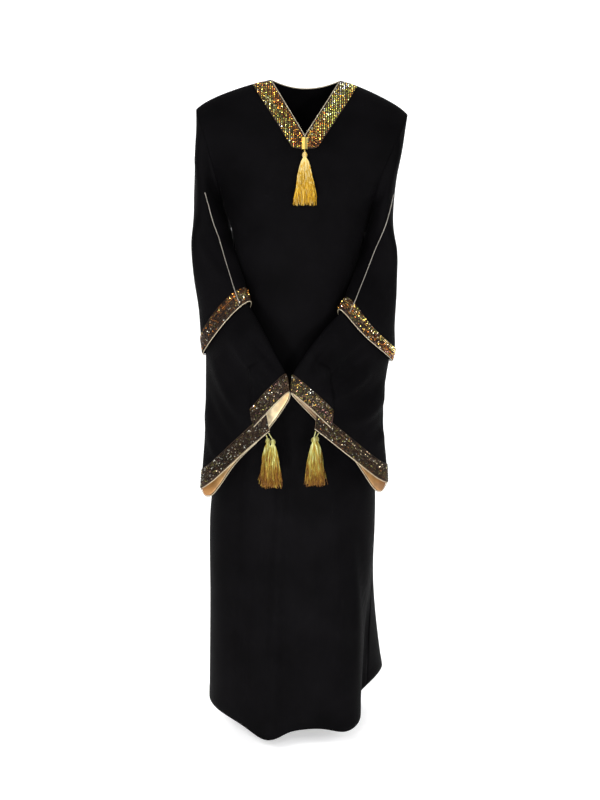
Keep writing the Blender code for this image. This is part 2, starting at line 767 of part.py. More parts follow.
def add_tassel(name, start, swing, kind):
    """A knot on a cord, with locks below whose roots are fused in the knot.

    The cord ends at `start`, and `swing` is how far the knot hangs to the side of that.
    """
    mesh = bmesh.new()
    bmesh.ops.create_uvsphere(mesh, u_segments=KNOT_SIDES, v_segments=KNOT_RINGS, radius=KNOT)
    crown = [face for face in mesh.faces if face.calc_center_median().z > KNOT * KNOT_CROWN]
    upper = bmesh.ops.extrude_face_region(mesh, geom=crown)
    bmesh.ops.delete(mesh, geom=crown, context="FACES_ONLY")
    for vert in [item for item in upper["geom"] if isinstance(item, bmesh.types.BMVert)]:
        flat = Vector((vert.co.x, vert.co.y, 0))
        if flat.length > CORD_RADIUS:
            flat = flat.normalized() * CORD_RADIUS
        vert.co = flat - swing + Vector((0, 0, KNOT + kind.cord))
    roots = [face for face in mesh.faces if face.calc_center_median().z < KNOT * KNOT_ROOTS]
    bmesh.ops.inset_individual(mesh, faces=roots, thickness=LOCK_INSET)
    body = kind.length - 2 * KNOT - kind.cord
    for face in roots:
        grow_lock(mesh, face, body, kind)
    bmesh.ops.translate(mesh, verts=mesh.verts, vec=start + swing - Vector((0, 0, KNOT + kind.cord)))
    bmesh.ops.triangulate(mesh, faces=mesh.faces)
    bmesh.ops.recalc_face_normals(mesh, faces=mesh.faces)
    return add_mesh(name, mesh, "gold_thread")


def grow_lock(mesh, face, body, kind):
    """Pull one lock down out of the knot, in stages, spreading with the tassel."""
    centre = face.calc_center_median()
    out = Vector((centre.x, centre.y, 0)).normalized()
    side = Vector((0, 0, 1)).cross(out)
    slope = face.normal.cross(side)
    layer = CORE_LOCKS if centre.z < KNOT * KNOT_CORE else OUTER_LOCKS
    around = math.pi * layer.ring * (kind.wide + kind.deep) / 2 / KNOT_SIDES * LOCK_FILL
    spots = [((vert.co - centre).dot(side), (vert.co - centre).dot(slope)) for vert in face.verts]
    wide = max(abs(across) for across, _ in spots)
    deep = max(abs(along) for _, along in spots)
    for stage in LOCK_STAGES:
        face = bmesh.ops.extrude_discrete_faces(mesh, faces=[face])["faces"][0]
        middle = Vector((out.x * kind.wide, out.y * kind.deep, 0)) * layer.ring * stage.flare
        middle.y -= kind.lean * stage.lean
        middle.z = -KNOT - body * stage.down
        for vert, (across, along) in zip(face.verts, spots):
            shift = side * (across / wide) * around + out * (along / deep) * layer.thick * kind.deep
            vert.co = middle + shift * stage.flare


def main():
    for old in list(bpy.data.objects):
        bpy.data.objects.remove(old, do_unlink=True)
    collection = bpy.data.collections.new(COLLECTION)
    bpy.context.scene.collection.children.link(collection)

    front, back = Panel(body_plan(-1), -1), Panel(body_plan(1), -1)
    sleeves = make_sleeves()
    share_seams([[front, back]] + [[over] for over, _ in sleeves.values()])
    for panel in (front, back):
        pull_body(panel)
    for over, long in sleeves.values():
        pull_row(over, 0, 1)
        pull_row(long, 0, 1)

    add_wall("body_front", front, 0, CLOTH, "black_georgette")
    add_wall("body_back", back, 0, CLOTH, "black_georgette")
    neck_bands(front, back)
    neck_piping(front, back)
    for side, (over, long) in sleeves.items():
        wall = add_wall(f"oversleeve_{side}", over, 0, CLOTH, "black_georgette")
        band = over.part((OVER_TRIM_RING, OVER_HEM_RING + 1))
        trim = add_wall(f"oversleeve_trim_{side}", band, TRIM_LOW, TRIM_HIGH, "bead_band")
        hem = edge_line(over.place[-1][:-1], over.out[-1][:-1], over.place[-2][:-1], TRIM_HIGH / 2, True)
        add_piping(f"oversleeve_piping_{side}", hem, True)
        slit_piping(side, wall, trim)

        add_wall(f"sleeve_{side}", long, 0, CLOTH, "black_georgette")
        cuff = long.part((len(long.plan) - 2, len(long.plan)))
        add_wall(f"cuff_trim_{side}", cuff, TRIM_LOW, TRIM_HIGH, "bead_band")
        add_wall(f"cuff_facing_{side}", cuff, -LAY - FACING, -LAY, "gold_satin")
        edge = edge_line(long.place[-1], long.out[-1], long.place[-2], CLOTH / 2, False)
        add_piping(f"cuff_piping_{side}", edge, False)
        for hang in CUFF_TASSELS:
            if hang.side == side:
                start = edge[0].lerp(edge[1], hang.along) - Vector((0, 0, CORD_DROP))
                swing = Vector((hang.across, hang.back, 0))
                add_tassel(f"tassel_{side}_{hang.name}", start, swing, CUFF_TASSEL)
    tab_end = settle(yoke_point(0.0, (TAB_END + NECK_FRONT) / (UNDERARM + NECK_FRONT), -1))
    start = tab_end - Vector((0, TAB_HIGH, LAY))
    add_tassel("tassel_neck", start, Vector(NECK_TASSEL_SWING), NECK_TASSEL)


main()
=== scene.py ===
import math
import random

import bmesh
import bpy
import numpy as np
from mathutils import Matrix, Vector
from mathutils.bvhtree import BVHTree


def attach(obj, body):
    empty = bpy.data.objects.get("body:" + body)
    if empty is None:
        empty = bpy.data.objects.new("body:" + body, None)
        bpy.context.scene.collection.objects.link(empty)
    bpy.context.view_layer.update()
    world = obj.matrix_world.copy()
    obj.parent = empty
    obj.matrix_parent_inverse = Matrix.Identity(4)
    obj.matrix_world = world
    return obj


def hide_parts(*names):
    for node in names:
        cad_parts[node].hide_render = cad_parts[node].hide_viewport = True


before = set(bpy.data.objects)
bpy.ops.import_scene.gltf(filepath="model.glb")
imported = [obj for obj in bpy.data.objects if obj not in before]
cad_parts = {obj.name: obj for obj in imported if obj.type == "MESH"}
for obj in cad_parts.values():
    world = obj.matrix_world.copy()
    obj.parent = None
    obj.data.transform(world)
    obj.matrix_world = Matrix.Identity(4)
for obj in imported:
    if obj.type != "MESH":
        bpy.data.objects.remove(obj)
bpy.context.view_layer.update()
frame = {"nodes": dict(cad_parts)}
print("frame loaded:", len(frame["nodes"]), "nodes")

# Walls, the same as the solids'
wall = {"cloth": 0.0015, "trim": 0.0012, "facing": 0.0008, "lay": 0.0004, "cord": 0.0014}
trimLow = wall["cloth"] + wall["lay"]
trimHigh = trimLow + wall["trim"]


# Small helpers

def smooth(share):
    share = min(max(share, 0.0), 1.0)
    return share * share * (3 - 2 * share)


def readTable(table, column, at):
    # smooth value of a column where the table's first column is `at`
    keys = [row[0] for row in table]
    values = [row[column] for row in table]
    turn = 1 if keys[-1] > keys[0] else -1
    if (at - keys[0]) * turn <= 0:
        return values[0]
    if (at - keys[-1]) * turn >= 0:
        return values[-1]
    last = len(keys) - 1
    i = next(i for i in range(last) if (at - keys[i + 1]) * turn <= 0)
    slopes = []
    for j in (i, i + 1):
        low, high = max(j - 1, 0), min(j + 1, last)
        slopes.append((values[high] - values[low]) / (keys[high] - keys[low]))
    span = keys[i + 1] - keys[i]
    t = (at - keys[i]) / span
    bend = t * (1 - t) * span * ((1 - t) * slopes[0] - t * slopes[1])
    return values[i] + (values[i + 1] - values[i]) * t * t * (3 - 2 * t) + bend


def unit(vectors):
    length = np.linalg.norm(vectors, axis=-1, keepdims=True)
    return vectors / np.maximum(length, 1e-9)


# The worn pose: how the garment leans, and drops off the viewer's right shoulder

pose = {
    "inner": 0.05, "outer": 0.22, "dropWidth": 0.20,
    # z, lean of the middle, lean of the sleeves, drop
    "table": (
        (0.000, 0.0120, 0.0060, 0.0060), (-0.060, 0.0110, 0.0040, 0.0110),
        (-0.120, 0.0100, -0.0010, 0.0150), (-0.165, 0.0095, -0.0070, 0.0180),
        (-0.245, 0.0090, -0.0135, 0.0205), (-0.358, -0.0020, -0.0120, 0.0250),
        (-0.457, -0.0120, -0.0080, 0.0370), (-0.557, -0.0200, -0.0040, 0.0155),
        (-0.600, -0.0220, -0.0065, 0.0120), (-0.670, -0.0180, -0.0115, 0.0075),
        (-0.850, -0.0150, -0.0120, 0.0000), (-0.970, -0.0170, -0.0170, 0.0000),
        (-1.450, -0.0160, -0.0160, 0.0000),
    ),
}


def settle(point):
    x, y, z = point
    out = smooth((abs(x) - pose["inner"]) / (pose["outer"] - pose["inner"]))
    middle = readTable(pose["table"], 1, z)
    lean = middle + (readTable(pose["table"], 2, z) - middle) * out
    return (x + lean, y, z - readTable(pose["table"], 3, z) * smooth(x / pose["dropWidth"]))


# Body

body = {
    "neckHalf": 0.074, "neckFront": 0.116, "neckBack": 0.018,
    "shoulderHalf": 0.224, "shoulderDrop": 0.0515, "shoulderCurve": 1.35, "capDrop": 0.008, "capCurve": 9,
    "underarm": -0.245, "underarmHalf": 0.160, "hem": -1.418, "bulge": 2.2,
    "yokeHeight": 0.20, "yokeCurve": 1.6, "armholeDepth": 0.055, "armholeShare": 0.92,
    "neckColumn": 0.1911, "neckColumns": 22, "sideColumns": 42, "yokeRows": 46, "skirtRows": 120,
    "neckEdge": 0.999, "firstShare": 0.3, "rounds": 10,
    # z, half width, depth in front, depth behind
    "levels": (
        (-0.060, 0.160, 0.080, 0.090), (-0.120, 0.160, 0.098, 0.098), (-0.200, 0.160, 0.115, 0.102),
        (-0.245, 0.160, 0.118, 0.100), (-0.330, 0.137, 0.118, 0.092), (-0.430, 0.127, 0.110, 0.088),
        (-0.530, 0.134, 0.110, 0.095), (-0.620, 0.149, 0.112, 0.108), (-0.720, 0.165, 0.117, 0.118),
        (-0.820, 0.176, 0.123, 0.125), (-0.970, 0.186, 0.130, 0.132), (-1.170, 0.188, 0.136, 0.140),
        (-1.418, 0.194, 0.142, 0.150),
    ),
    # angle from the front, width, height where it starts, power, depth at the hem
    "folds": (
        (80, 16, -0.95, 1.6, -0.045), (118, 20, -1.00, 1.6, 0.045), (-22, 12, -0.80, 1.2, 0.010),
        (-6, 10, -0.80, 1.2, -0.006), (150, 15, -0.60, 1.0, -0.012), (178, 17, -0.55, 1.0, 0.014),
        (-152, 16, -0.60, 1.0, -0.010), (-122, 18, -0.65, 1.0, 0.012),
    ),
    # angle, width, lift of the hem
    "droops": ((-22, 20, -0.026), (-58, 26, 0.005), (-90, 34, 0.019), (47, 16, -0.019), (106, 25, 0.060)),
}


def shoulderLine(x):
    over = max(abs(x) - body["neckHalf"], 0.0) / (body["shoulderHalf"] - body["neckHalf"])
    return -body["shoulderDrop"] * over ** body["shoulderCurve"] - body["capDrop"] * over ** body["capCurve"]


def topLine(x, side):
    inside = abs(x) / body["neckHalf"]
    if inside > body["neckEdge"]:
        return shoulderLine(x)
    if side < 0:
        return -body["neckFront"] * (1 - inside)
    return -body["neckBack"] * (1 - inside * inside)


def section(column):
    angle = column * math.pi / 2
    across = math.copysign(abs(math.sin(angle)) ** (2 / body["bulge"]), column)
    return across, abs(math.cos(angle)) ** (2 / body["bulge"])


def yokeShare(row):
    return (1 - math.cos(math.pi * row)) / 2


def armholeHalf(share):
    narrowing = max(1 - share, 0.0) ** body["shoulderCurve"]
    return body["underarmHalf"] + (body["shoulderHalf"] - body["underarmHalf"]) * narrowing


def bodyDepth(z, side):
    return readTable(body["levels"], 2 if side < 0 else 3, z)


def yokeDepth(x, z, side):
    under = min(max((shoulderLine(x) - z) / body["yokeHeight"], 0.0), 1.0)
    return bodyDepth(z, side) * (1 - (1 - under) ** body["yokeCurve"]) ** (1 / body["yokeCurve"])


def yokeReach(share, side):
    half = armholeHalf(share)
    end = body["shoulderDrop"] + body["capDrop"]
    depth = yokeDepth(half, (body["underarm"] + end) * share - end, side)
    wanted = body["armholeDepth"] * 2 * math.sqrt(max(share * (1 - share), 0.0))
    ratio = min(wanted / depth, body["armholeShare"]) if depth > 0 else body["armholeShare"]
    return half / (1 - ratio ** body["bulge"]) ** (1 / body["bulge"])


def rimShare(x, share, side):
    return max(1 - (abs(x) / yokeReach(share, side)) ** body["bulge"], 0.0) ** (1 / body["bulge"])


def yokePoint(column, share, side):
    across = section(column)[0]
    x = across * armholeHalf(share)
    top = topLine(across * body["shoulderHalf"], side)
    z = top + (body["underarm"] - top) * share
    return (x, side * yokeDepth(x, z, side) * rimShare(x, share, side), z)


def chestPoint(x, z, side):
    # the yoke where it is `x` off the middle and at height z
    share = body["firstShare"]
    for _ in range(body["rounds"]):
        top = topLine(x / armholeHalf(share) * body["shoulderHalf"], side)
        share = min(max((z - top) / (body["underarm"] - top), 0.0), 1.0)
    return (x, side * yokeDepth(x, z, side) * rimShare(x, share, side), z)


def skirtPoint(column, level, side):
    across, deep = section(column)
    half, depth = readTable(body["levels"], 1, level), bodyDepth(level, side)
    point = np.array((across * half, side * depth * deep, level))
    angle = math.degrees(math.atan2(point[0], -point[1]))
    out = unit(np.array((point[0] / half ** 2, point[1] / depth ** 2, 0)))
    for foldAngle, width, start, power, foldDepth in body["folds"]:
        share = min(max((start - level) / (start - body["hem"]), 0.0), 1.0)
        away = (angle - foldAngle + 180) % 360 - 180
        point = point + out * foldDepth * math.exp(-(away / width) ** 2) * share ** power
    fall = smooth((body["underarm"] - level) / (body["underarm"] - body["hem"])) ** 2
    for droopAngle, width, lift in body["droops"]:
        away = (angle - droopAngle + 180) % 360 - 180
        point[2] += lift * math.exp(-(away / width) ** 2) * fall
    return tuple(point)


def bodyColumns():
    neck = np.linspace(0, body["neckColumn"], body["neckColumns"] + 1)[:-1]
    side = np.linspace(body["neckColumn"], 1, body["sideColumns"] + 1)
    half = np.concatenate((neck, side))
    return np.concatenate((-half[:0:-1], half))


def bodyGrid(side):
    # rows of points from the neck to the hem; the back's columns run the other way
    columns = bodyColumns() * -side
    rows = [[yokePoint(c, yokeShare(row / body["yokeRows"]), side) for c in columns]
            for row in range(body["yokeRows"] + 1)]
    levels = np.linspace(body["underarm"], body["hem"], body["skirtRows"] + 1)[1:]
    rows += [[skirtPoint(c, level, side) for c in columns] for level in levels]
    return np.array([[settle(point) for point in row] for row in rows])


# Sleeves, worked out on the viewer's right and mirrored

sleeve = {
    "around": 20, "fineAround": 120, "slitAngle": 126, "flapColumns": 3, "inset": 0.0065, "insetRings": 2,
    "bodyRoom": 0.0045, "bodyRoomHeight": 0.05, "slitOpen": 0.08, "slitPart": 0.0028,
    "flapLiftTop": 0.0030, "flapLift": 0.0070, "flapOverlap": 15.0,
    "overHemRing": 8, "slitRing": 10, "cuffTrimRing": 11, "cuffHemRing": 12, "rowStep": 0.0055,
    # outer and inner ends of each ring, its depth on the near side and on the far side
    "rings": (
        ((0.2190, 0.002, -0.116), (0.1610, 0.000, -0.256), 0.058, 0.055),
        ((0.2140, 0.004, -0.182), (0.1580, -0.002, -0.270), 0.064, 0.058),
        ((0.2110, 0.006, -0.258), (0.1500, -0.006, -0.298), 0.070, 0.062),
        ((0.2005, 0.008, -0.340), (0.1480, -0.022, -0.332), 0.070, 0.050),
        ((0.1900, 0.006, -0.430), (0.1330, -0.052, -0.372), 0.064, 0.044),
        ((0.1935, -0.004, -0.505), (0.1180, -0.088, -0.408), 0.050, 0.030),
        ((0.1978, -0.016, -0.556), (0.1090, -0.108, -0.427), 0.043, 0.027),
        ((0.1990, -0.024, -0.583), (0.0970, -0.124, -0.452), 0.036, 0.026),
        ((0.1885, -0.045, -0.655), (0.0700, -0.150, -0.500), 0.035, 0.022),
        ((0.1905, -0.064, -0.740), (0.0360, -0.174, -0.552), 0.032, 0.019),
        ((0.1985, -0.080, -0.810), (0.0100, -0.186, -0.592), 0.027, 0.016),
        ((0.2010, -0.088, -0.850), (0.0040, -0.190, -0.628), 0.024, 0.014),
    ),
    # angle, how far the cuff's hem runs past its ring on the left and on the right
    "reaches": (
        (126, 0.045, 0.040), (54, 0.034, 0.026), (0, 0.022, 0.008), (-36, 0.054, 0.044),
        (-72, 0.031, 0.014), (-108, 0.030, 0.009), (-144, 0.018, 0.008), (-162, 0.013, 0.007),
        (-180, 0.004, 0.006), (-234, 0.013, 0.012),
    ),
    # ring, how much lower its near side hangs on the left and on the right
    "sags": (
        (10, 0, 0), (9, 0.004, 0.008), (8, 0.012, 0.021), (7, 0.016, 0.030), (6, 0.004, 0.010), (5, 0, 0),
    ),
    "sagPower": 1.5,
}


def armholePoint(angle):
    around = sleeve["around"]
    index = angle / (360 / around) % around
    side = -1 if index <= around / 2 else 1
    return Vector(yokePoint(1.0, yokeShare(min(index, around - index) / (around / 2)), side))


def ringCentre(ring):
    if ring == 0:
        return (armholePoint(0) + armholePoint(180)) / 2
    outer, inner = sleeve["rings"][ring - 1][:2]
    return (Vector(outer) + Vector(inner)) / 2


def ringOut(ring):
    # the ring's near side, at right angles to its length and to the sleeve
    along = ringCentre(min(ring + 1, sleeve["cuffHemRing"])) - ringCentre(ring - 1)
    return along.cross(Vector(sleeve["rings"][ring - 1][0]) - ringCentre(ring)).normalized()


def clearOfBody(point):
    room = sleeve["bodyRoom"] * smooth((body["underarm"] - point.z) / sleeve["bodyRoomHeight"])
    if room <= 0:
        return point
    half = readTable(body["levels"], 1, point.z) + room
    depth = bodyDepth(point.z, -1 if point.y < 0 else 1) + room
    inside = (abs(point.x) / half) ** body["bulge"] + (abs(point.y) / depth) ** body["bulge"]
    if inside >= 1:
        return point
    grow = inside ** (-1 / body["bulge"])
    return Vector((point.x * grow, point.y * grow, point.z))


def ringPoint(ring, angle, column):
    if ring == 0:
        return armholePoint(angle)
    outer, _, near, far = sleeve["rings"][ring - 1]
    sine = math.sin(math.radians(angle))
    depth = near if sine > 0 else far
    centre = ringCentre(ring)
    reach = (Vector(outer) - centre) * math.cos(math.radians(angle))
    point = clearOfBody(centre + reach + ringOut(ring) * depth * sine)
    point.z -= readTable(sleeve["sags"], column, ring) * max(sine, 0.0) ** sleeve["sagPower"]
    return point


def refineRows(rows, steps):
    # a smooth surface through rows of points; `steps` new rows for each old one
    rows = np.array(rows)
    gaps = np.linalg.norm(np.diff(rows, axis=0), axis=2).mean(axis=1)
    knots = np.concatenate(([0], np.cumsum(gaps)))
    slopes = np.empty_like(rows)
    for i in range(len(rows)):
        low, high = max(i - 1, 0), min(i + 1, len(rows) - 1)
        slopes[i] = (rows[high] - rows[low]) / (knots[high] - knots[low])
    fine = []
    for i, gap in enumerate(gaps):
        count = steps[i]
        for t in np.arange(count) / count:
            blend = t * t * (3 - 2 * t)
            bend = t * (1 - t) * gap * ((1 - t) * slopes[i] - t * slopes[i + 1])
            fine.append(rows[i] + (rows[i + 1] - rows[i]) * blend + bend)
    fine.append(rows[-1])
    return np.array(fine)


def rowSteps(rows):
    gaps = np.linalg.norm(np.diff(np.array(rows), axis=0), axis=2).mean(axis=1)
    return [max(int(round(gap / sleeve["rowStep"])), 2) for gap in gaps]


def overSleeveRings(column):
    angles = np.linspace(0, 360, sleeve["fineAround"] + 1)
    rings = range(sleeve["overHemRing"] + 1)
    return np.array([[ringPoint(ring, angle, column) for angle in angles] for ring in rings])


def flapShare(i, count):
    column = i * sleeve["around"] / count
    return max(column - (sleeve["around"] - sleeve["flapColumns"]), 0) / sleeve["flapColumns"]


def cuffRow(ring, column):
    count = sleeve["fineAround"]
    trim, hem = sleeve["cuffTrimRing"], sleeve["cuffHemRing"]
    row = []
    for i, angle in enumerate(np.linspace(sleeve["slitAngle"], sleeve["slitAngle"] - 360, count + 1)):
        flap = flapShare(i, count)
        turned = angle - sleeve["flapOverlap"] * flap
        along = ringPoint(hem, turned, column) - ringPoint(trim, turned, column)
        reach = along.normalized() * readTable(sleeve["reaches"], column, angle)
        point = ringPoint(ring, turned, column) + reach
        row.append(point + ringOut(ring) * sleeve["flapLift"] * smooth(flap))
    return row


def slitRow(above, below):
    count = len(above) - 1
    out = ringOut(sleeve["slitRing"])
    row = []
    for i, (high, low) in enumerate(zip(above, below)):
        lift = sleeve["flapLiftTop"] - sleeve["flapLift"] * sleeve["slitOpen"]
        row.append(high.lerp(low, sleeve["slitOpen"]) + out * lift * smooth(flapShare(i, count)))
    step = count // sleeve["around"]
    apart = (above[step] - above[-1 - step]).normalized() * sleeve["slitPart"]
    for i in range(step):
        row[i] += apart * (1 - i / step)
        row[-1 - i] -= apart * (1 - i / step)
    return row


def longSleeveRings(column):
    count = sleeve["fineAround"]
    over = overSleeveRings(column)
    outs = outward(over, 1, len(over))
    angles = np.linspace(sleeve["slitAngle"], sleeve["slitAngle"] - 360, count + 1)
    picks = [int(round(angle / 360 * count)) % count for angle in angles]
    seam = wall["cloth"] + 2 * wall["lay"]
    rows = []
    for ring in range(sleeve["overHemRing"] + 1):
        inset = seam + (sleeve["inset"] - seam) * min(ring / sleeve["insetRings"], 1.0)
        rows.append([Vector(over[ring][c] - outs[ring][c] * inset) for c in picks])
    for ring in (sleeve["overHemRing"] + 1, sleeve["slitRing"]):
        rows.append([ringPoint(ring, angle, column) for angle in angles])
    rows.append(slitRow(rows[-1], cuffRow(sleeve["cuffTrimRing"], column)))
    rows.append(cuffRow(sleeve["cuffTrimRing"], column))
    rows.append(cuffRow(sleeve["cuffHemRing"], column))
    return np.array(rows)


def outward(grid, turn, joined=0):
    # unit normals of a grid of points; the first `joined` rows close round
    down = np.gradient(grid, axis=0)
    across = np.gradient(grid, axis=1)
    closed = (grid[:, 1] - grid[:, -2]) / 2
    across[:joined, 0] = closed[:joined]
    across[:joined, -1] = closed[:joined]
    return unit(np.cross(down, across)) * -turn


# Creases: soft ridges and troughs, placed where the garment hangs
# piece, start, middle and end seen from the front (x, z), width, depth; a trough is below zero
creases = {
    "oversleeve_left": (
        ((-0.201, -0.085), (-0.181, -0.163), (-0.166, -0.250), 0.016, -0.0060),
        ((-0.215, -0.150), (-0.206, -0.210), (-0.209, -0.290), 0.012, 0.0035),
        ((-0.182, -0.120), (-0.160, -0.180), (-0.146, -0.230), 0.012, 0.0030),
        ((-0.208, -0.300), (-0.182, -0.360), (-0.140, -0.400), 0.014, -0.0030),
    ),
    "oversleeve_right": (
        ((0.177, -0.122), (0.166, -0.173), (0.148, -0.215), 0.013, -0.0050),
        ((0.196, -0.150), (0.190, -0.250), (0.172, -0.350), 0.014, -0.0035),
        ((0.204, -0.300), (0.196, -0.380), (0.172, -0.440), 0.013, 0.0030),
    ),
    "sleeve_left": (
        ((-0.109, -0.515), (-0.076, -0.552), (-0.037, -0.600), 0.010, -0.0055),
        ((-0.143, -0.535), (-0.097, -0.594), (-0.059, -0.645), 0.011, 0.0060),
        ((-0.160, -0.560), (-0.120, -0.625), (-0.078, -0.675), 0.010, -0.0050),
        ((-0.190, -0.575), (-0.150, -0.655), (-0.100, -0.712), 0.013, 0.0050),
        ((-0.200, -0.640), (-0.178, -0.705), (-0.142, -0.752), 0.012, -0.0045),
        ((-0.205, -0.700), (-0.192, -0.760), (-0.172, -0.800), 0.010, 0.0030),
    ),
    "sleeve_right": (
        ((0.050, -0.655), (0.105, -0.636), (0.150, -0.603), 0.010, 0.0065),
        ((0.040, -0.632), (0.094, -0.607), (0.142, -0.572), 0.009, -0.0060),
        ((0.077, -0.526), (0.042, -0.563), (0.027, -0.596), 0.010, -0.0050),
        ((0.105, -0.536), (0.064, -0.576), (0.034, -0.612), 0.010, 0.0060),
        ((0.140, -0.548), (0.092, -0.583), (0.046, -0.622), 0.009, -0.0050),
        ((0.060, -0.684), (0.120, -0.672), (0.178, -0.622), 0.012, -0.0055),
        ((0.100, -0.705), (0.150, -0.697), (0.190, -0.655), 0.012, 0.0050),
        ((0.140, -0.745), (0.172, -0.735), (0.193, -0.700), 0.012, -0.0040),
    ),
    "body_front": (
        ((-0.103, -0.195), (-0.070, -0.235), (-0.020, -0.262), 0.018, -0.0030),
        ((0.096, -0.195), (0.066, -0.245), (0.022, -0.280), 0.018, -0.0030),
        ((-0.098, -0.700), (-0.120, -0.930), (-0.132, -1.200), 0.020, 0.0035),
        ((-0.030, -0.760), (-0.048, -1.000), (-0.056, -1.400), 0.012, 0.0050),
        ((-0.058, -0.900), (-0.078, -1.150), (-0.084, -1.420), 0.017, -0.0045),
        ((0.004, -0.800), (0.010, -1.050), (0.020, -1.420), 0.022, -0.0030),
        ((0.066, -0.850), (0.084, -1.080), (0.100, -1.410), 0.019, 0.0040),
        ((0.128, -0.960), (0.146, -1.139), (0.150, -1.300), 0.011, -0.0045),
        ((-0.110, -1.080), (-0.118, -1.260), (-0.116, -1.400), 0.014, -0.0035),
    ),
    "body_back": (
        ((-0.120, -0.170), (-0.060, -0.230), (-0.004, -0.255), 0.018, -0.0035),
        ((0.130, -0.180), (0.070, -0.245), (0.024, -0.272), 0.017, -0.0030),
        ((-0.060, -0.620), (-0.082, -0.900), (-0.094, -1.400), 0.018, 0.0045),
        ((-0.010, -0.700), (-0.020, -1.000), (-0.018, -1.420), 0.020, -0.0040),
        ((0.050, -0.640), (0.064, -0.950), (0.072, -1.420), 0.017, 0.0045),
        ((0.100, -0.800), (0.118, -1.050), (0.122, -1.400), 0.016, -0.0040),
        ((-0.130, -0.850), (-0.142, -1.100), (-0.140, -1.380), 0.015, -0.0035),
    ),
}
# the same for the sides of the sleeves that face away
farCreases = {
    "oversleeve_left": (
        ((-0.196, -0.110), (-0.176, -0.190), (-0.160, -0.280), 0.015, -0.0045),
        ((-0.212, -0.260), (-0.196, -0.350), (-0.165, -0.420), 0.014, 0.0035),
    ),
    "oversleeve_right": (
        ((0.190, -0.130), (0.176, -0.210), (0.158, -0.290), 0.015, -0.0045),
        ((0.205, -0.280), (0.186, -0.370), (0.150, -0.430), 0.014, 0.0035),
    ),
    "sleeve_left": (
        ((-0.150, -0.560), (-0.105, -0.610), (-0.060, -0.640), 0.012, -0.0045),
        ((-0.195, -0.600), (-0.150, -0.680), (-0.095, -0.720), 0.013, 0.0050),
        ((-0.205, -0.690), (-0.180, -0.745), (-0.140, -0.780), 0.012, -0.0040),
    ),
    "sleeve_right": (
        ((0.160, -0.565), (0.110, -0.600), (0.050, -0.640), 0.012, -0.0045),
        ((0.190, -0.620), (0.140, -0.670), (0.080, -0.690), 0.012, 0.0050),
        ((0.192, -0.700), (0.160, -0.740), (0.115, -0.755), 0.012, -0.0040),
    ),
}
creaseShape = {"steps": 24, "shadowWidth": 1.7, "shadowDepth": 0.45, "turn": 0.25, "taper": 0.7}


def pressCreases(grid, outs, rows, far):
    # each crease is a ridge or trough with a fainter one of the other kind along one side
    facing = outs[..., 1] if far else -outs[..., 1]
    mask = np.clip(facing / creaseShape["turn"], 0, 1)
    lift = np.zeros(grid.shape[:2])
    flat = grid[..., (0, 2)]
    for start, middle, end, width, depth in rows:
        start, middle, end = (np.array(p) for p in (start, middle, end))
        t = np.linspace(0, 1, creaseShape["steps"])[:, None]
        bend = 2 * middle - (start + end) / 2
        line = start * (1 - t) ** 2 + 2 * bend * t * (1 - t) + end * t ** 2
        run = unit(np.gradient(line, axis=0))
        gap = flat[:, :, None, :] - line
        near = np.argmin((gap ** 2).sum(axis=-1), axis=2)
        gap = np.take_along_axis(gap, near[..., None, None], axis=2)[:, :, 0]
        along = run[near]
        side = gap[..., 0] * along[..., 1] - gap[..., 1] * along[..., 0]
        past = np.abs(gap[..., 0] * along[..., 0] + gap[..., 1] * along[..., 1])
        taper = np.sin(np.pi * (near + 0.5) / creaseShape["steps"]) ** creaseShape["taper"]
        away = creaseShape["shadowWidth"] * width
        profile = np.exp(-(side / width) ** 2)
        profile -= creaseShape["shadowDepth"] * np.exp(-((side - away) / width) ** 2)
        lift += depth * profile * taper * np.exp(-(past / width) ** 2)
    return grid + outs * (lift * mask)[..., None]


# Meshes from the grids

def measure(grid):
    # UV in metres: along each row from its middle, and down each column
    across = np.linalg.norm(np.diff(grid, axis=1), axis=2)
    u = np.concatenate((np.zeros((len(grid), 1)), np.cumsum(across, axis=1)), axis=1)
    u -= u[:, -1:] / 2
    down = np.linalg.norm(np.diff(grid, axis=0), axis=2)
    v = np.concatenate((np.zeros((1, grid.shape[1])), np.cumsum(down, axis=0)), axis=0)
    return u, v - v[-1:]


def finishPiece(made, look, replaced):
    finish, slot = looks[look]
    made.data.materials.append(finish)
    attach(made, "root")
    if replaced:
        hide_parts(*replaced)
    return made


def link(name, data):
    made = bpy.data.objects.new(name, data)
    bpy.context.scene.collection.objects.link(made)
    return made


def addSheet(name, grid, outs, low, thick, joined, look, replaced):
    # a cloth `low` off a grid of points and thickened outwards; its first `joined` rows close round
    place = grid + outs * low
    height, width = grid.shape[:2]
    u, v = measure(grid)
    mesh = bmesh.new()
    bmesh.ops.create_grid(mesh, x_segments=width - 1, y_segments=height - 1, size=1)
    mesh.verts.ensure_lookup_table()
    layer = mesh.loops.layers.uv.new("cloth")
    for face in mesh.faces:
        for loop in face.loops:
            r, c = divmod(loop.vert.index, width)
            loop[layer].uv = (u[r, c], v[r, c])
    for vert, point in zip(mesh.verts, place.reshape(-1, 3)):
        vert.co = point
    if joined:
        welds = {mesh.verts[r * width + width - 1]: mesh.verts[r * width] for r in range(joined)}
        bmesh.ops.weld_verts(mesh, targetmap=welds)
    mesh.normal_update()
    mesh.faces.ensure_lookup_table()
    mid = mesh.faces[len(mesh.faces) // 2]
    spot = mid.calc_center_median()
    nearest = np.argmin(((place.reshape(-1, 3) - np.array(spot)) ** 2).sum(axis=1))
    if mid.normal.dot(Vector(outs.reshape(-1, 3)[nearest])) < 0:
        bmesh.ops.reverse_faces(mesh, faces=mesh.faces)
    data = bpy.data.meshes.new(name)
    mesh.to_mesh(data)
    mesh.free()
    data.shade_smooth()
    made = link(name, data)
    shell = made.modifiers.new("wall", "SOLIDIFY")
    shell.thickness = thick
    shell.offset = 1
    return finishPiece(made, look, (replaced,))


# Materials

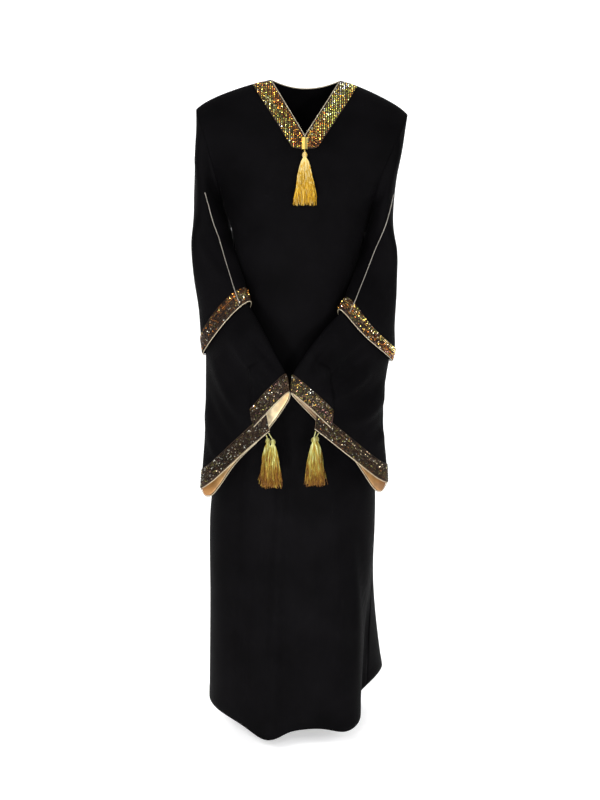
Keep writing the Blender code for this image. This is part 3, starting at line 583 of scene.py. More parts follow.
def newMaterial(name, sockets):
    made = bpy.data.materials.new(name)
    made.use_nodes = True
    tree = made.node_tree
    shader = tree.nodes["Principled BSDF"]
    for socket, value in sockets.items():
        shader.inputs[socket].default_value = value
    return made, tree, shader


def addNode(tree, kind, **values):
    # each value is one of the node's settings, or else one of its inputs
    node = tree.nodes.new("ShaderNode" + kind)
    for key, value in values.items():
        if hasattr(node, key):
            setattr(node, key, value)
        else:
            node.inputs[key].default_value = value
    return node


def addPattern(tree, kind, place, values):
    node = addNode(tree, kind, **values)
    tree.links.new(place, node.inputs["Vector"])
    return node.outputs


def addRamp(tree, value, stops):
    ramp = addNode(tree, "ValToRGB")
    elements = ramp.color_ramp.elements
    while len(elements) < len(stops):
        elements.new(0.5)
    for element, (position, colour) in zip(elements, stops):
        element.position = position
        element.color = (*colour, 1)
    tree.links.new(value, ramp.inputs["Fac"])
    return ramp.outputs["Color"]


def addShare(tree, value, low, high):
    # from 0 at `low` to 1 at `high`
    span = addNode(tree, "MapRange", **{"From Min": low, "From Max": high})
    tree.links.new(value, span.inputs["Value"])
    return span.outputs[0]


def addBump(tree, height, shader, strength, distance):
    bump = addNode(tree, "Bump", Strength=strength, Distance=distance)
    tree.links.new(height, bump.inputs["Height"])
    tree.links.new(bump.outputs["Normal"], shader.inputs["Normal"])


def splitPlace(tree, place, axis):
    split = addNode(tree, "SeparateXYZ")
    tree.links.new(place, split.inputs[0])
    return split.outputs[axis]


crepe = {
    "tones": ((0.35, (0.0012, 0.0011, 0.0013)), (0.72, (0.0024, 0.0022, 0.0026))),
    "patch": {"Scale": 9.0, "Detail": 3.0}, "grain": {"Scale": 1900, "Detail": 3.0, "Roughness": 0.7},
    "thread": {"Scale": 413.81506, "Distortion": 2.0, "Detail": 1.0}, "bump": 0.35, "relief": 0.0002,
    "sockets": {"Roughness": 0.60, "Sheen Weight": 0.0022, "Sheen Roughness": 0.5,
                "Specular IOR Level": 0.014},
}


def crepeMaterial():
    made, tree, shader = newMaterial("blackCrepe", crepe["sockets"])
    place = addNode(tree, "TexCoord").outputs
    grain = addPattern(tree, "TexNoise", place["UV"], crepe["grain"])
    thread = addPattern(tree, "TexWave", place["UV"], crepe["thread"])
    weave = addNode(tree, "Math", operation="ADD")
    tree.links.new(grain["Fac"], weave.inputs[0])
    tree.links.new(thread["Fac"], weave.inputs[1])
    addBump(tree, weave.outputs[0], shader, crepe["bump"], crepe["relief"])
    patch = addPattern(tree, "TexNoise", place["Object"], crepe["patch"])
    tree.links.new(addRamp(tree, patch["Fac"], crepe["tones"]), shader.inputs["Base Color"])
    return made


stoneLook = {"Roughness": 0.16, "Metallic": 1.0}


def stoneMaterial():
    made, tree, shader = newMaterial("setStones", stoneLook)
    own = addNode(tree, "Attribute", attribute_name="stone")
    tree.links.new(own.outputs["Color"], shader.inputs["Base Color"])
    return made


# the net that the stones are set on
backing = {
    "tones": ((0.35, (0.008, 0.005, 0.004)), (0.70, (0.030, 0.017, 0.009))),
    "patch": {"Scale": 60.0, "Detail": 4.0}, "mesh": {"Scale": 900}, "bump": 0.5, "relief": 0.0003,
    "sockets": {"Roughness": 0.6, "Specular IOR Level": 0.12},
}


def backingMaterial():
    made, tree, shader = newMaterial("bandBacking", backing["sockets"])
    place = addNode(tree, "TexCoord").outputs
    patch = addPattern(tree, "TexNoise", place["Object"], backing["patch"])
    tree.links.new(addRamp(tree, patch["Fac"], backing["tones"]), shader.inputs["Base Color"])
    net = addPattern(tree, "TexVoronoi", place["UV"], backing["mesh"])
    addBump(tree, net["Distance"], shader, backing["bump"], backing["relief"])
    return made


cordLook = {
    "gold": ((0.30, (0.20, 0.155, 0.095)), (0.62, (0.58, 0.51, 0.37))),
    "slit": ((0.30, (0.15, 0.14, 0.12)), (0.62, (0.46, 0.43, 0.38))),
    "fibre": {"Scale": 900.0, "Detail": 2.0}, "bump": 0.4, "relief": 0.0002,
    "sockets": {"Roughness": 0.34, "Metallic": 0.70},
}


def cordMaterial(name, tones):
    made, tree, shader = newMaterial(name, cordLook["sockets"])
    place = addNode(tree, "TexCoord").outputs
    fibre = addPattern(tree, "TexNoise", place["Object"], cordLook["fibre"])
    tree.links.new(addRamp(tree, fibre["Fac"], tones), shader.inputs["Base Color"])
    addBump(tree, fibre["Fac"], shader, cordLook["bump"], cordLook["relief"])
    return made


tab = {
    "half": 0.0060, "top": -0.1165, "end": -0.140, "thick": 0.0019, "rows": 24, "columns": 9,
    # share across, colour: a painted highlight on one fold beside painted shade on the other, on a flat strip
    "tones": (
        (0.00, (0.52, 0.36, 0.06)), (0.42, (0.74, 0.52, 0.11)), (0.54, (0.20, 0.15, 0.03)),
        (1.00, (0.26, 0.20, 0.05)),
    ),
    "ribs": {"Scale": 180.0, "Distortion": 0.8, "bands_direction": "Y"}, "bump": 0.5, "relief": 0.0003,
    "sockets": {"Roughness": 0.40, "Metallic": 0.30},
}


def tabMaterial():
    made, tree, shader = newMaterial("tabBraid", tab["sockets"])
    place = addNode(tree, "TexCoord").outputs
    across = addShare(tree, splitPlace(tree, place["UV"], "X"), -tab["half"], tab["half"])
    # painted highlight and painted shade across the strip's width
    tree.links.new(addRamp(tree, across, tab["tones"]), shader.inputs["Base Color"])
    ribs = addPattern(tree, "TexWave", place["UV"], tab["ribs"])
    addBump(tree, ribs["Fac"], shader, tab["bump"], tab["relief"])
    return made


satin = {
    "left": -0.25, "right": 0.21,
    # place across the garment, colour there: painted light and shade on one satin, pale cream where the left
    # cuff's facing is lit, dark brown towards both ends and on the right
    "tones": (
        (-0.245, (0.18, 0.06, 0.010)), (-0.190, (0.27, 0.13, 0.034)), (-0.120, (0.48, 0.34, 0.160)),
        (-0.078, (1.00, 0.90, 0.640)), (-0.030, (0.95, 0.66, 0.330)), (0.006, (0.30, 0.20, 0.120)),
        (0.090, (0.28, 0.14, 0.050)), (0.150, (0.30, 0.16, 0.052)), (0.190, (0.16, 0.06, 0.012)),
    ),
    "streaks": ((0.36, (0.70, 0.70, 0.70)), (0.60, (1.0, 1.0, 1.0))), "streak": {"Scale": 60, "Detail": 2.0},
    "weave": {"Scale": 420.0, "Distortion": 0.6}, "bump": 0.12, "relief": 0.0001,
    "sockets": {"Roughness": 0.42, "Metallic": 0.08, "Anisotropic": 0.5},
}


def satinMaterial():
    made, tree, shader = newMaterial("facingSatin", satin["sockets"])
    place = addNode(tree, "TexCoord").outputs
    across = addShare(tree, splitPlace(tree, place["Object"], "X"), satin["left"], satin["right"])
    width = satin["right"] - satin["left"]
    streak = addPattern(tree, "TexNoise", place["Object"], satin["streak"])
    both = addNode(tree, "Mix", data_type="RGBA", blend_type="MULTIPLY")
    both.inputs["Factor"].default_value = 1.0
    # the colours across the garment are painted light and shade, not the satin's own change of colour
    tones = [((x - satin["left"]) / width, colour) for x, colour in satin["tones"]]
    tree.links.new(addRamp(tree, across, tones), both.inputs["A"])
    tree.links.new(addRamp(tree, streak["Fac"], satin["streaks"]), both.inputs["B"])
    tree.links.new(both.outputs["Result"], shader.inputs["Base Color"])
    weave = addPattern(tree, "TexWave", place["UV"], satin["weave"])
    addBump(tree, weave["Fac"], shader, satin["bump"], satin["relief"])
    return made


# thread that changes colour down the tassel; streaky noise makes some strands darker and some lighter, partly
# strands of their own tone and partly painted shade between strands and painted highlight along them
silk = {
    "strand": {"Scale": 380, "Detail": 1.0}, "change": 2.3, "squeeze": (1, 1, 0.10),
    # height where the colours end and where they start, and the colours upwards
    "cuffSilk": (-0.83, -0.72, (
        (0.00, (0.11, 0.040, 0.002)), (0.25, (0.22, 0.105, 0.008)), (0.50, (0.29, 0.210, 0.026)),
        (0.75, (0.31, 0.305, 0.078)), (1.00, (0.50, 0.490, 0.230)),
    )),
    "neckSilk": (-0.27, -0.17, (
        (0.00, (0.50, 0.350, 0.110)), (0.14, (0.26, 0.125, 0.003)), (0.36, (0.44, 0.235, 0.008)),
        (0.60, (0.60, 0.355, 0.022)), (0.82, (0.62, 0.400, 0.050)), (1.00, (0.70, 0.560, 0.240)),
    )),
    "sockets": {"Roughness": 0.40, "Metallic": 0.25, "Specular IOR Level": 0.2},
}


def silkMaterial(name):
    bottom, top, tones = silk[name]
    made, tree, shader = newMaterial(name, silk["sockets"])
    place = addNode(tree, "TexCoord").outputs
    down = addShare(tree, splitPlace(tree, place["Object"], "Z"), bottom, top)
    squeeze = addPattern(tree, "Mapping", place["Object"], {"Scale": silk["squeeze"]})
    # streaky noise: partly the strands' own tone, partly painted shade between strands and painted highlight
    # along them
    strand = addPattern(tree, "TexNoise", squeeze["Vector"], silk["strand"])
    shift = addNode(tree, "Math", operation="MULTIPLY_ADD")
    shift.inputs[1].default_value = silk["change"]
    shift.inputs[2].default_value = -silk["change"] / 2
    tree.links.new(strand["Fac"], shift.inputs[0])
    total = addNode(tree, "Math", operation="ADD")
    tree.links.new(down, total.inputs[0])
    tree.links.new(shift.outputs[0], total.inputs[1])
    tree.links.new(addRamp(tree, total.outputs[0], tones), shader.inputs["Base Color"])
    return made


# each finish and the name of its slot
looks = {
    "cloth": (crepeMaterial(), "black_georgette"), "stones": (stoneMaterial(), "bead_band"),
    "net": (backingMaterial(), "bead_band"), "satin": (satinMaterial(), "gold_satin"),
    "cord": (cordMaterial("goldCord", cordLook["gold"]), "gold_piping"),
    "slitCord": (cordMaterial("slitCord", cordLook["slit"]), "gold_piping"),
    "tab": (tabMaterial(), "gold_piping"), "silk": (silkMaterial("cuffSilk"), "gold_thread"),
    "neckSilk": (silkMaterial("neckSilk"), "gold_thread"),
}
print("finishes made:", len(looks))


# Stones

stoneKinds = {
    "gold": (0.66, 0.40, 0.08), "brightGold": (0.95, 0.72, 0.22), "copper": (0.48, 0.17, 0.04),
    "brown": (0.13, 0.055, 0.018), "orange": (0.80, 0.29, 0.04), "champagne": (0.90, 0.74, 0.50),
    "pink": (0.60, 0.33, 0.26), "green": (0.42, 0.46, 0.12), "silver": (0.82, 0.82, 0.72),
    "plum": (0.16, 0.07, 0.08), "dark": (0.024, 0.015, 0.011), "red": (0.42, 0.08, 0.03),
    "umber": (0.075, 0.046, 0.028), "smoke": (0.12, 0.10, 0.075), "olive": (0.20, 0.19, 0.06),
}
stone = {
    "pitch": 0.0036, "radius": 0.00165, "sizes": (0.88, 1.04), "table": 0.55, "height": 0.0009, "sides": 6,
    # streak: how much lighter and darker every other column of neck-band stones is, painted highlight and
    # shade
    "tilt": 0.17, "spread": 0.05, "tone": 0.52, "streak": 0.40, "margin": 0.0016,
}
# each band: seed, a painted light and shade factor that lightens or darkens all its stones, and the kinds at
# places along and across it; on the over-sleeves the stretches packed with dark stones partly stand for
# painted shade too
bands = {
    "neck_trim_left": (10, 1.20, (
        (0.05, 0.3, "copper gold orange"), (0.10, 0.8, "gold olive copper"),
        (0.30, 0.2, "orange copper brown"), (0.32, 0.75, "brightGold gold olive"),
        (0.52, 0.2, "copper orange gold"), (0.58, 0.75, "gold olive green"),
        (0.72, 0.3, "copper gold brown"), (0.84, 0.85, "green gold champagne"),
        (0.85, 0.35, "orange copper brown"), (0.96, 0.4, "red copper orange"),
    )),
    "neck_trim_right": (12, 1.70, (
        (0.05, 0.4, "brightGold gold silver"), (0.20, 0.6, "brightGold green gold"),
        (0.35, 0.3, "brightGold gold green"), (0.50, 0.6, "gold green brightGold"),
        (0.62, 0.3, "gold copper brightGold"), (0.75, 0.5, "copper gold orange"),
        (0.95, 0.5, "copper gold brown"),
    )),
    "neck_trim_back": (14, 1, (
        (0.1, 0.5, "gold copper green"), (0.3, 0.5, "gold brown copper"), (0.5, 0.4, "copper orange gold"),
        (0.7, 0.5, "gold green brightGold"), (0.9, 0.5, "brightGold gold champagne"),
    )),
    # round the over-sleeve from its outer edge over the near side; its inner end is at about 0.45
    "oversleeve_trim_left": (20, 0.40, (
        (0.02, 0.5, "brown plum dark"), (0.08, 0.5, "umber dark dark brown dark"),
        (0.16, 0.4, "dark umber dark dark"), (0.24, 0.5, "umber dark dark silver umber dark dark dark"),
        (0.31, 0.5, "dark umber dark dark smoke"), (0.36, 0.4, "orange umber copper dark"),
        (0.41, 0.3, "orange brown brightGold copper"), (0.48, 0.5, "orange brightGold green champagne"),
        (0.65, 0.5, "brown copper dark"), (0.85, 0.5, "brown dark copper"), (0.98, 0.5, "brown plum"),
    )),
    "oversleeve_trim_right": (22, 0.68, (
        (0.02, 0.7, "plum brown pink"), (0.07, 0.3, "brightGold brightGold champagne"),
        (0.12, 0.6, "orange gold copper"), (0.19, 0.5, "red copper umber brown dark"),
        (0.27, 0.5, "olive gold umber brown dark"), (0.35, 0.5, "green olive umber umber dark"),
        (0.44, 0.4, "brightGold orange gold champagne"), (0.65, 0.5, "copper brown gold"),
        (0.85, 0.5, "brown copper gold"), (0.98, 0.5, "plum brown"),
    )),
    # round the cuff from the hanging edge of its slit, over the outer edge, to the flap
    "cuff_trim_left": (30, 0.37, (
        (0.02, 0.5, "umber dark silver smoke dark"), (0.10, 0.5, "umber dark dark olive dark champagne"),
        (0.20, 0.5, "dark umber brown dark dark silver"), (0.28, 0.4, "umber smoke olive dark dark silver"),
        (0.34, 0.5, "smoke silver umber umber olive dark"), (0.50, 0.5, "umber dark brown"),
        (0.70, 0.5, "umber dark olive"), (0.83, 0.5, "umber brown champagne"),
        (0.86, 0.5, "smoke champagne pink umber gold"), (0.91, 0.4, "umber smoke silver olive dark"),
        (0.95, 0.6, "umber smoke olive dark"), (0.99, 0.5, "plum umber dark"),
    )),
    "cuff_trim_right": (32, 0.48, (
        (0.02, 0.5, "umber brown dark"), (0.07, 0.5, "olive smoke silver umber"),
        (0.13, 0.5, "olive smoke umber brown"), (0.20, 0.5, "umber dark brown"),
        (0.26, 0.4, "umber smoke champagne dark"), (0.34, 0.5, "umber dark brown olive"),
        (0.50, 0.5, "umber dark brown"), (0.70, 0.5, "umber dark olive"),
        (0.85, 0.5, "green gold olive brightGold"), (0.90, 0.4, "olive smoke gold silver umber"),
        (0.95, 0.5, "smoke olive umber champagne"), (0.99, 0.5, "pink plum umber"),
    )),
}


def pickKind(draw, kinds, along, across):
    # stones near a place in the table mostly take its kinds
    weights = [1 / ((along - a) ** 2 + (across - c) ** 2 + stone["spread"] ** 2) ** 2 for a, c, _ in kinds]
    return draw.choice(draw.choices(kinds, weights)[0][2].split())


def cutStone():
    # corners and faces of one low cut stone of radius and height 1, open below
    mesh = bmesh.new()
    bmesh.ops.create_cone(mesh, cap_ends=True, segments=stone["sides"], radius1=1.0,
                          radius2=stone["table"], depth=1.0)
    base = [face for face in mesh.faces if face.normal.z < -0.9]
    bmesh.ops.delete(mesh, geom=base, context="FACES_ONLY")
    mesh.verts.index_update()
    corners = np.array([vert.co for vert in mesh.verts])
    corners[:, 2] += 0.5
    faces = [[vert.index for vert in face.verts] for face in mesh.faces]
    mesh.free()
    return corners, faces


def addStones(trim, spots):
    # spots: point, out, run, place along and across the band, and a tone factor, which on the neck bands
    # holds painted highlight and shade by column
    seed, paintedLight, kinds = bands[trim]
    draw = random.Random(seed)
    corners, faces = cutStone()
    points, polygons, colours = [], [], []
    for i, (point, out, run, along, across, streak) in enumerate(spots):
        out = unit(out + np.array([draw.gauss(0, stone["tilt"]) for _ in range(3)]))
        run = unit(run - out * np.dot(run, out))
        side = np.cross(out, run)
        size = stone["radius"] * draw.uniform(*stone["sizes"])
        shape = corners * (size, size, stone["height"])
        turn = draw.uniform(0, math.tau / stone["sides"])
        x = shape[:, 0] * math.cos(turn) - shape[:, 1] * math.sin(turn)
        y = shape[:, 0] * math.sin(turn) + shape[:, 1] * math.cos(turn)
        points.append(point + x[:, None] * run + y[:, None] * side + shape[:, 2:] * out)
        polygons += [[corner + i * len(corners) for corner in face] for face in faces]
        # the band's factor scales each stone's colour as painted light and shade
        tone = paintedLight * streak * math.exp(draw.gauss(0, stone["tone"]))
        kind = stoneKinds[pickKind(draw, kinds, along, across)]
        colours += [(*(min(value * tone, 1.0) for value in kind), 1.0)] * len(corners)
    data = bpy.data.meshes.new(trim + "_stones")
    data.from_pydata(np.concatenate(points).tolist(), [], polygons)
    layer = data.color_attributes.new("stone", "FLOAT_COLOR", "POINT")
    layer.data.foreach_set("color", np.array(colours, dtype=np.float32).ravel())
    finishPiece(link(trim + "_stones", data), "stones", ())


def ringSpots(grid, outs):
    # rows of stones along a band whose rows run along its length
    across = np.linalg.norm(np.diff(grid, axis=1), axis=2)
    reach = np.concatenate((np.zeros((len(grid), 1)), np.cumsum(across, axis=1)), axis=1)
    down = np.linalg.norm(np.diff(grid, axis=0), axis=2).sum(axis=0).mean()
    room = down - 2 * stone["margin"]
    lines = max(int(room / stone["pitch"]) + 1, 1)
    first = stone["margin"] + (room - (lines - 1) * stone["pitch"]) / 2
    spots = []
    for line in range(lines):
        share = (first + line * stone["pitch"]) / down
        at = share * (len(grid) - 1)
        low = min(int(at), len(grid) - 2)
        part = at - low
        row = grid[low] * (1 - part) + grid[low + 1] * part
        rowOut = unit(outs[low] * (1 - part) + outs[low + 1] * part)
        length = reach[low] * (1 - part) + reach[low + 1] * part
        count = int(length[-1] / stone["pitch"])
        for i in range(count):
            want = (i + 0.5) * length[-1] / count
            c = min(max(int(np.searchsorted(length, want)) - 1, 0), grid.shape[1] - 2)
            s = (want - length[c]) / max(length[c + 1] - length[c], 1e-9)
            point = row[c] * (1 - s) + row[c + 1] * s
            out = unit(rowOut[c] * (1 - s) + rowOut[c + 1] * s)
            run = row[c + 1] - row[c]
            spots.append((point + out * trimHigh, out, run, want / length[-1], share, 1))
    return spots


# Neck bands, laid out on the flat plan (x, z) and put on the chest or the back

neckBand = {
    "top": (0.110, -0.0098), "outer": (0.030, -0.131), "end": -0.139, "inner": 0.0044,
    "cornerStart": 0.0074, "cornerSteps": 6, "rows": 60, "columns": 12,
    "backOuter": (0.062, -0.058), "backCorner": (0.006, 0.004), "backRows": 90, "backPoints": 25,
    "under": 0.0002, "probe": 0.0006, "wide": 0.036,
    "stoneAcross": 0.0042, "stoneDown": 0.0031, "uneven": (0.7, 1.2), "seeds": {-1: 59, 1: 61},
}


def alongPath(path, share):
    # a point at a share of the way along a line of plan points
    steps = [math.dist(a, b) for a, b in zip(path, path[1:])]
    want = share * sum(steps)
    for (a, b), step in zip(zip(path, path[1:]), steps):
        if want <= step:
            t = want / step
            return (a[0] + (b[0] - a[0]) * t, a[1] + (b[1] - a[1]) * t)
        want -= step
    return path[-1]


def innerEdge(z):
    return max(body["neckHalf"] * (1 + z / body["neckFront"]), neckBand["inner"])


def frontBandPaths():
    near, end = neckBand["inner"], neckBand["end"]
    inner = [(body["neckHalf"], 0.0), (near, -body["neckFront"] * (1 - near / body["neckHalf"])), (near, end)]
    outer = [neckBand["top"], neckBand["outer"]]
    x, z = neckBand["outer"]
    start = neckBand["cornerStart"]
    for i in range(1, neckBand["cornerSteps"] + 1):
        turn = math.pi / 2 * i / neckBand["cornerSteps"]
        outer.append((start + (x - start) * math.cos(turn), z + (end - z) * math.sin(turn)))
    return inner, outer


def backBandPaths():
    half = body["neckHalf"]
    inner = [(x, topLine(x, 1)) for x in np.linspace(half, -half, neckBand["backPoints"])]
    (x1, z1), (x2, z2) = neckBand["top"], neckBand["backOuter"]
    wide, high = neckBand["backCorner"]
    outer = [(x1, z1), (x2 + wide, z2 + high), (x2 - wide, z2)]
    return inner, outer + [(-x, z) for x, z in reversed(outer)]


def wornPoint(x, z, side):
    return np.array(settle(chestPoint(x, z, side)))


def wornFrame(x, z, side):
    # a point of the yoke, its outward direction and the way the plan's x runs there
    step = neckBand["probe"]
    point = wornPoint(x, z, side)
    run = wornPoint(x + step, z, side) - wornPoint(x - step, z, side)
    down = wornPoint(x, z - step, side) - wornPoint(x, z, side)
    out = unit(np.cross(run, down))
    return point, out if out[1] * side > 0 else -out, unit(run)


def bandGrid(inner, outer, rows, columns, side, sign):
    grid, outs = [], []
    for r in range(rows + 1):
        a, b = alongPath(inner, r / rows), alongPath(outer, r / rows)
        line = [(sign * (a[0] + (b[0] - a[0]) * c / columns), a[1] + (b[1] - a[1]) * c / columns)
                for c in range(columns + 1)]
        frames = [wornFrame(x, min(z, topLine(x, side) - neckBand["under"]), side) for x, z in line]
        grid.append([f[0] for f in frames])
        outs.append([f[1] for f in frames])
    return np.array(grid), np.array(outs)


def insideBand(x, z):
    edge, end, start = stone["margin"], neckBand["end"], neckBand["cornerStart"]
    (x1, z1), (x2, z2) = neckBand["top"], neckBand["outer"]
    outerX = x2 + (z - z2) * (x1 - x2) / (z1 - z2)
    if z < z2:
        drop = (z2 - z) / (z2 - end)
        outerX = start + (x2 - start) * math.sqrt(max(1 - drop ** 2, 0))
    return innerEdge(z) + edge < x < outerX - edge and end + edge < z < shoulderLine(x) - edge


def neckSpots(sign):
    # stones stand in upright columns; every other column is lighter and the rest darker, painted highlight
    # and shade that partly stand for the band's own columns, and each column also varies at random
    spots = []
    wide, high, end = neckBand["stoneAcross"], neckBand["stoneDown"], neckBand["end"]
    draw = random.Random(neckBand["seeds"][sign])
    for i in range(int(neckBand["top"][0] / wide) + 1):
        streak = (1 + stone["streak"] * (-1) ** i) * draw.uniform(*neckBand["uneven"])
        for j in range(int(-end / high) + 1):
            x, z = neckBand["inner"] + (i + 0.5) * wide, -(j + 0.5) * high
            if not insideBand(x, z):
                continue
            point, out, run = wornFrame(sign * x, z, -1)
            across = min((x - innerEdge(z)) / neckBand["wide"], 1.0)
            spots.append((point + out * trimHigh, out, run, z / end, across, streak))
    return spots


def backSpots():
    spots = []
    pitch, edge = stone["pitch"], stone["margin"]
    (x1, z1), (x2, z2) = neckBand["top"], neckBand["backOuter"]
    reach = int(x1 / pitch) + 2
    for i in range(-reach, reach + 1):
        for j in range(int(-z2 / pitch) + 1):
            x, z = (i + 0.5) * pitch, -(j + 0.5) * pitch
            outerX = x2 + (z - z2) * (x1 - x2) / (z1 - z2)
            if abs(x) < outerX - edge and z2 + edge < z < topLine(x, 1) - edge:
                point, out, run = wornFrame(x, z, 1)
                # every other column lighter, the rest darker: painted highlight and shade
                streak = 1 + stone["streak"] * (-1) ** i
                spots.append((point + out * trimHigh, out, run, 0.5 + x / (2 * x1), min(z / z2, 1), streak))
    return spots


# Piping: two strands twisted round each other

piping = {"helix": 0.00050, "strand": 0.00060, "turn": 0.0036, "steps": 8}


def resample(points, step, closed):
    points = [Vector(p) for p in points]
    if closed:
        points.append(points[0])
    out, left = [points[0].copy()], step
    for a, b in zip(points, points[1:]):
        length = (b - a).length
        while left <= length:
            out.append(a.lerp(b, left / length))
            left += step
        left -= length
    return out


def addCord(name, points, closed, look, replaced, thin=1.0):
    # two POLY splines that wind round the path
    curve = bpy.data.curves.new(name, "CURVE")
    curve.dimensions = "3D"
    curve.bevel_depth = piping["strand"] * thin
    curve.bevel_resolution = 1
    curve.use_fill_caps = True
    path = resample(points, piping["turn"] / piping["steps"], closed)
    up = Vector((0.0, 0.0, 1.0))
    for phase in (0, math.pi):
        spline = curve.splines.new("POLY")
        spline.points.add(len(path) - 1)
        side = None
        for i, point in enumerate(path):
            run = (path[min(i + 1, len(path) - 1)] - path[max(i - 1, 0)]).normalized()
            if side is None:
                side = run.cross(up if abs(run.z) < 0.9 else Vector((1, 0, 0))).normalized()
            side = (side - run * side.dot(run)).normalized()
            over = run.cross(side)
            turn = phase + math.tau * i / piping["steps"]
            spot = point + (side * math.cos(turn) + over * math.sin(turn)) * piping["helix"] * thin
            spline.points[i].co = (*spot, 1)
    finishPiece(link(name, curve), look, (replaced,))


def edgeLine(edge, outs, inside, lift, closed):
    # points just past an edge, clear of it, in the middle of its thickness
    edge, outs, inside = ([Vector(p) for p in row] for row in (edge, outs, inside))
    count = len(edge)
    aways = []
    for i, point in enumerate(edge):
        before = edge[i - 1] if closed or i else point
        after = edge[(i + 1) % count] if closed or i < count - 1 else point
        aways.append((after - before).cross(outs[i]).normalized())
    side = sum(away.dot(point - within) for away, point, within in zip(aways, edge, inside))
    reach = math.copysign(wall["cord"] + wall["lay"], side)
    return [point + out * lift + away * reach for point, out, away in zip(edge, outs, aways)]


slits = {
    "left": ((-0.2015, -0.230), (-0.1255, -0.458)), "right": ((0.1960, -0.236), (0.1030, -0.477)),
    "bow": {"left": -0.0070, "right": 0.0115}, "points": 90, "from": -0.30, "lift": 0.0004, "step": 0.012,
    "thin": 0.75,
}


def treeOf(piece):
    corners = [vert.co for vert in piece.data.vertices]
    return BVHTree.FromPolygons(corners, [tuple(face.vertices) for face in piece.data.polygons])


def slitLine(side, sleevePiece, bandPiece):
    # laid on the over-sleeve and over its band, straight as seen from the front
    tree, bandTree = treeOf(sleevePiece), treeOf(bandPiece)
    top, bottom = slits[side]
    points = []
    for i in range(slits["points"]):
        share = i / (slits["points"] - 1)
        x, z = top[0] + (bottom[0] - top[0]) * share, top[1] + (bottom[1] - top[1]) * share
        x += slits["bow"][side] * math.sin(math.pi * share)
        spot, normal = tree.find_nearest(Vector((x, slits["from"], z)))[:2]
        hit, face = tree.ray_cast(Vector((x, slits["from"], z)), Vector((0, 1, 0)))[:2]
        if hit is not None:
            spot, normal = hit, face
        if normal.y > 0:
            normal = -normal
        climb = smooth(2 - bandTree.find_nearest(spot)[3] / slits["step"])
        points.append(spot + normal * (wall["cloth"] + wall["cord"] + slits["lift"]
                                       + (trimHigh - wall["cloth"]) * climb))
    return points


# Tassels: silk strands out of a wound knot, hung on a twisted cord

tassel = {
    "strands": 190, "points": 12, "thread": 0.00044, "thickness": (0.8, 1.2), "wave": 0.0019,
    "waveSizes": (0.3, 1.3), "waveTurns": (9, 21), "waveBack": 0.5, "stray": 0.07, "strayReach": 1.25,
    "ragged": 0.17, "bunches": 9, "bunching": 0.10, "golden": 0.618034, "hollow": 0.02, "lobes": 3,
    "rootRing": 0.45, "rootDrop": 0.75, "leanShare": 1.2,
    "knot": 0.0058, "knotWide": 0.86, "knotTop": 0.06, "wraps": 8, "wrap": 0.00075, "wrapSteps": 14,
    "cordTop": 0.7, "cordSteps": 23, "cordTurn": 14, "cordApart": 0.0006, "cordThick": 0.0007,
}
neckTassel = {"length": 0.112, "wide": 0.0236, "deep": 0.0085, "cord": 0.004, "lean": 0.026, "neck": 0.60,
              "swing": (0, -0.013, 0), "clear": 0.0008, "seed": 47}
cuffTassel = {"length": 0.116, "wide": 0.0190, "deep": 0.0100, "cord": 0.010, "lean": 0.0, "neck": 0.62,
              "drop": 0.0035}
cuffTassels = (
    # side, name, share along the cuff's first edge, shift of the knot across and back, seed
    ("left", "inner", 0.06, 0.009, -0.013, 41), ("left", "outer", 0.24, 0.003, 0.013, 42),
    ("right", "front", 0.06, -0.004, -0.013, 43), ("right", "back", 0.24, -0.004, 0.013, 44),
)


def addLine(curve, points, radius):
    spline = curve.splines.new("POLY")
    spline.points.add(len(points) - 1)
    for spot, point in zip(spline.points, points):
        spot.co = (*point, 1)
        spot.radius = radius


def addKnot(curve, start, knot):
    # the cord's two strands, and the thread wound round the head
    high = tassel["knot"]
    for phase in (0, math.pi):
        top, line = knot + Vector((0, 0, high * tassel["cordTop"])), []
        for i in range(tassel["cordSteps"] + 1):
            share = i / tassel["cordSteps"]
            turn = phase + share * tassel["cordTurn"]
            side = Vector((math.cos(turn), math.sin(turn), 0)) * tassel["cordApart"]
            line.append(start.lerp(top, share) + side)
        addLine(curve, line, tassel["cordThick"] / tassel["thread"])
    line = []
    steps = tassel["wraps"] * tassel["wrapSteps"]
    for i in range(steps + 1):
        share = i / steps
        fall = math.pi * (tassel["knotTop"] + (1 - 2 * tassel["knotTop"]) * share)
        wide = high * math.sin(fall) * tassel["knotWide"]
        turn = math.tau * share * tassel["wraps"]
        line.append(knot + Vector((math.cos(turn) * wide, math.sin(turn) * wide, high * math.cos(fall))))
    addLine(curve, line, tassel["wrap"] / tassel["thread"])


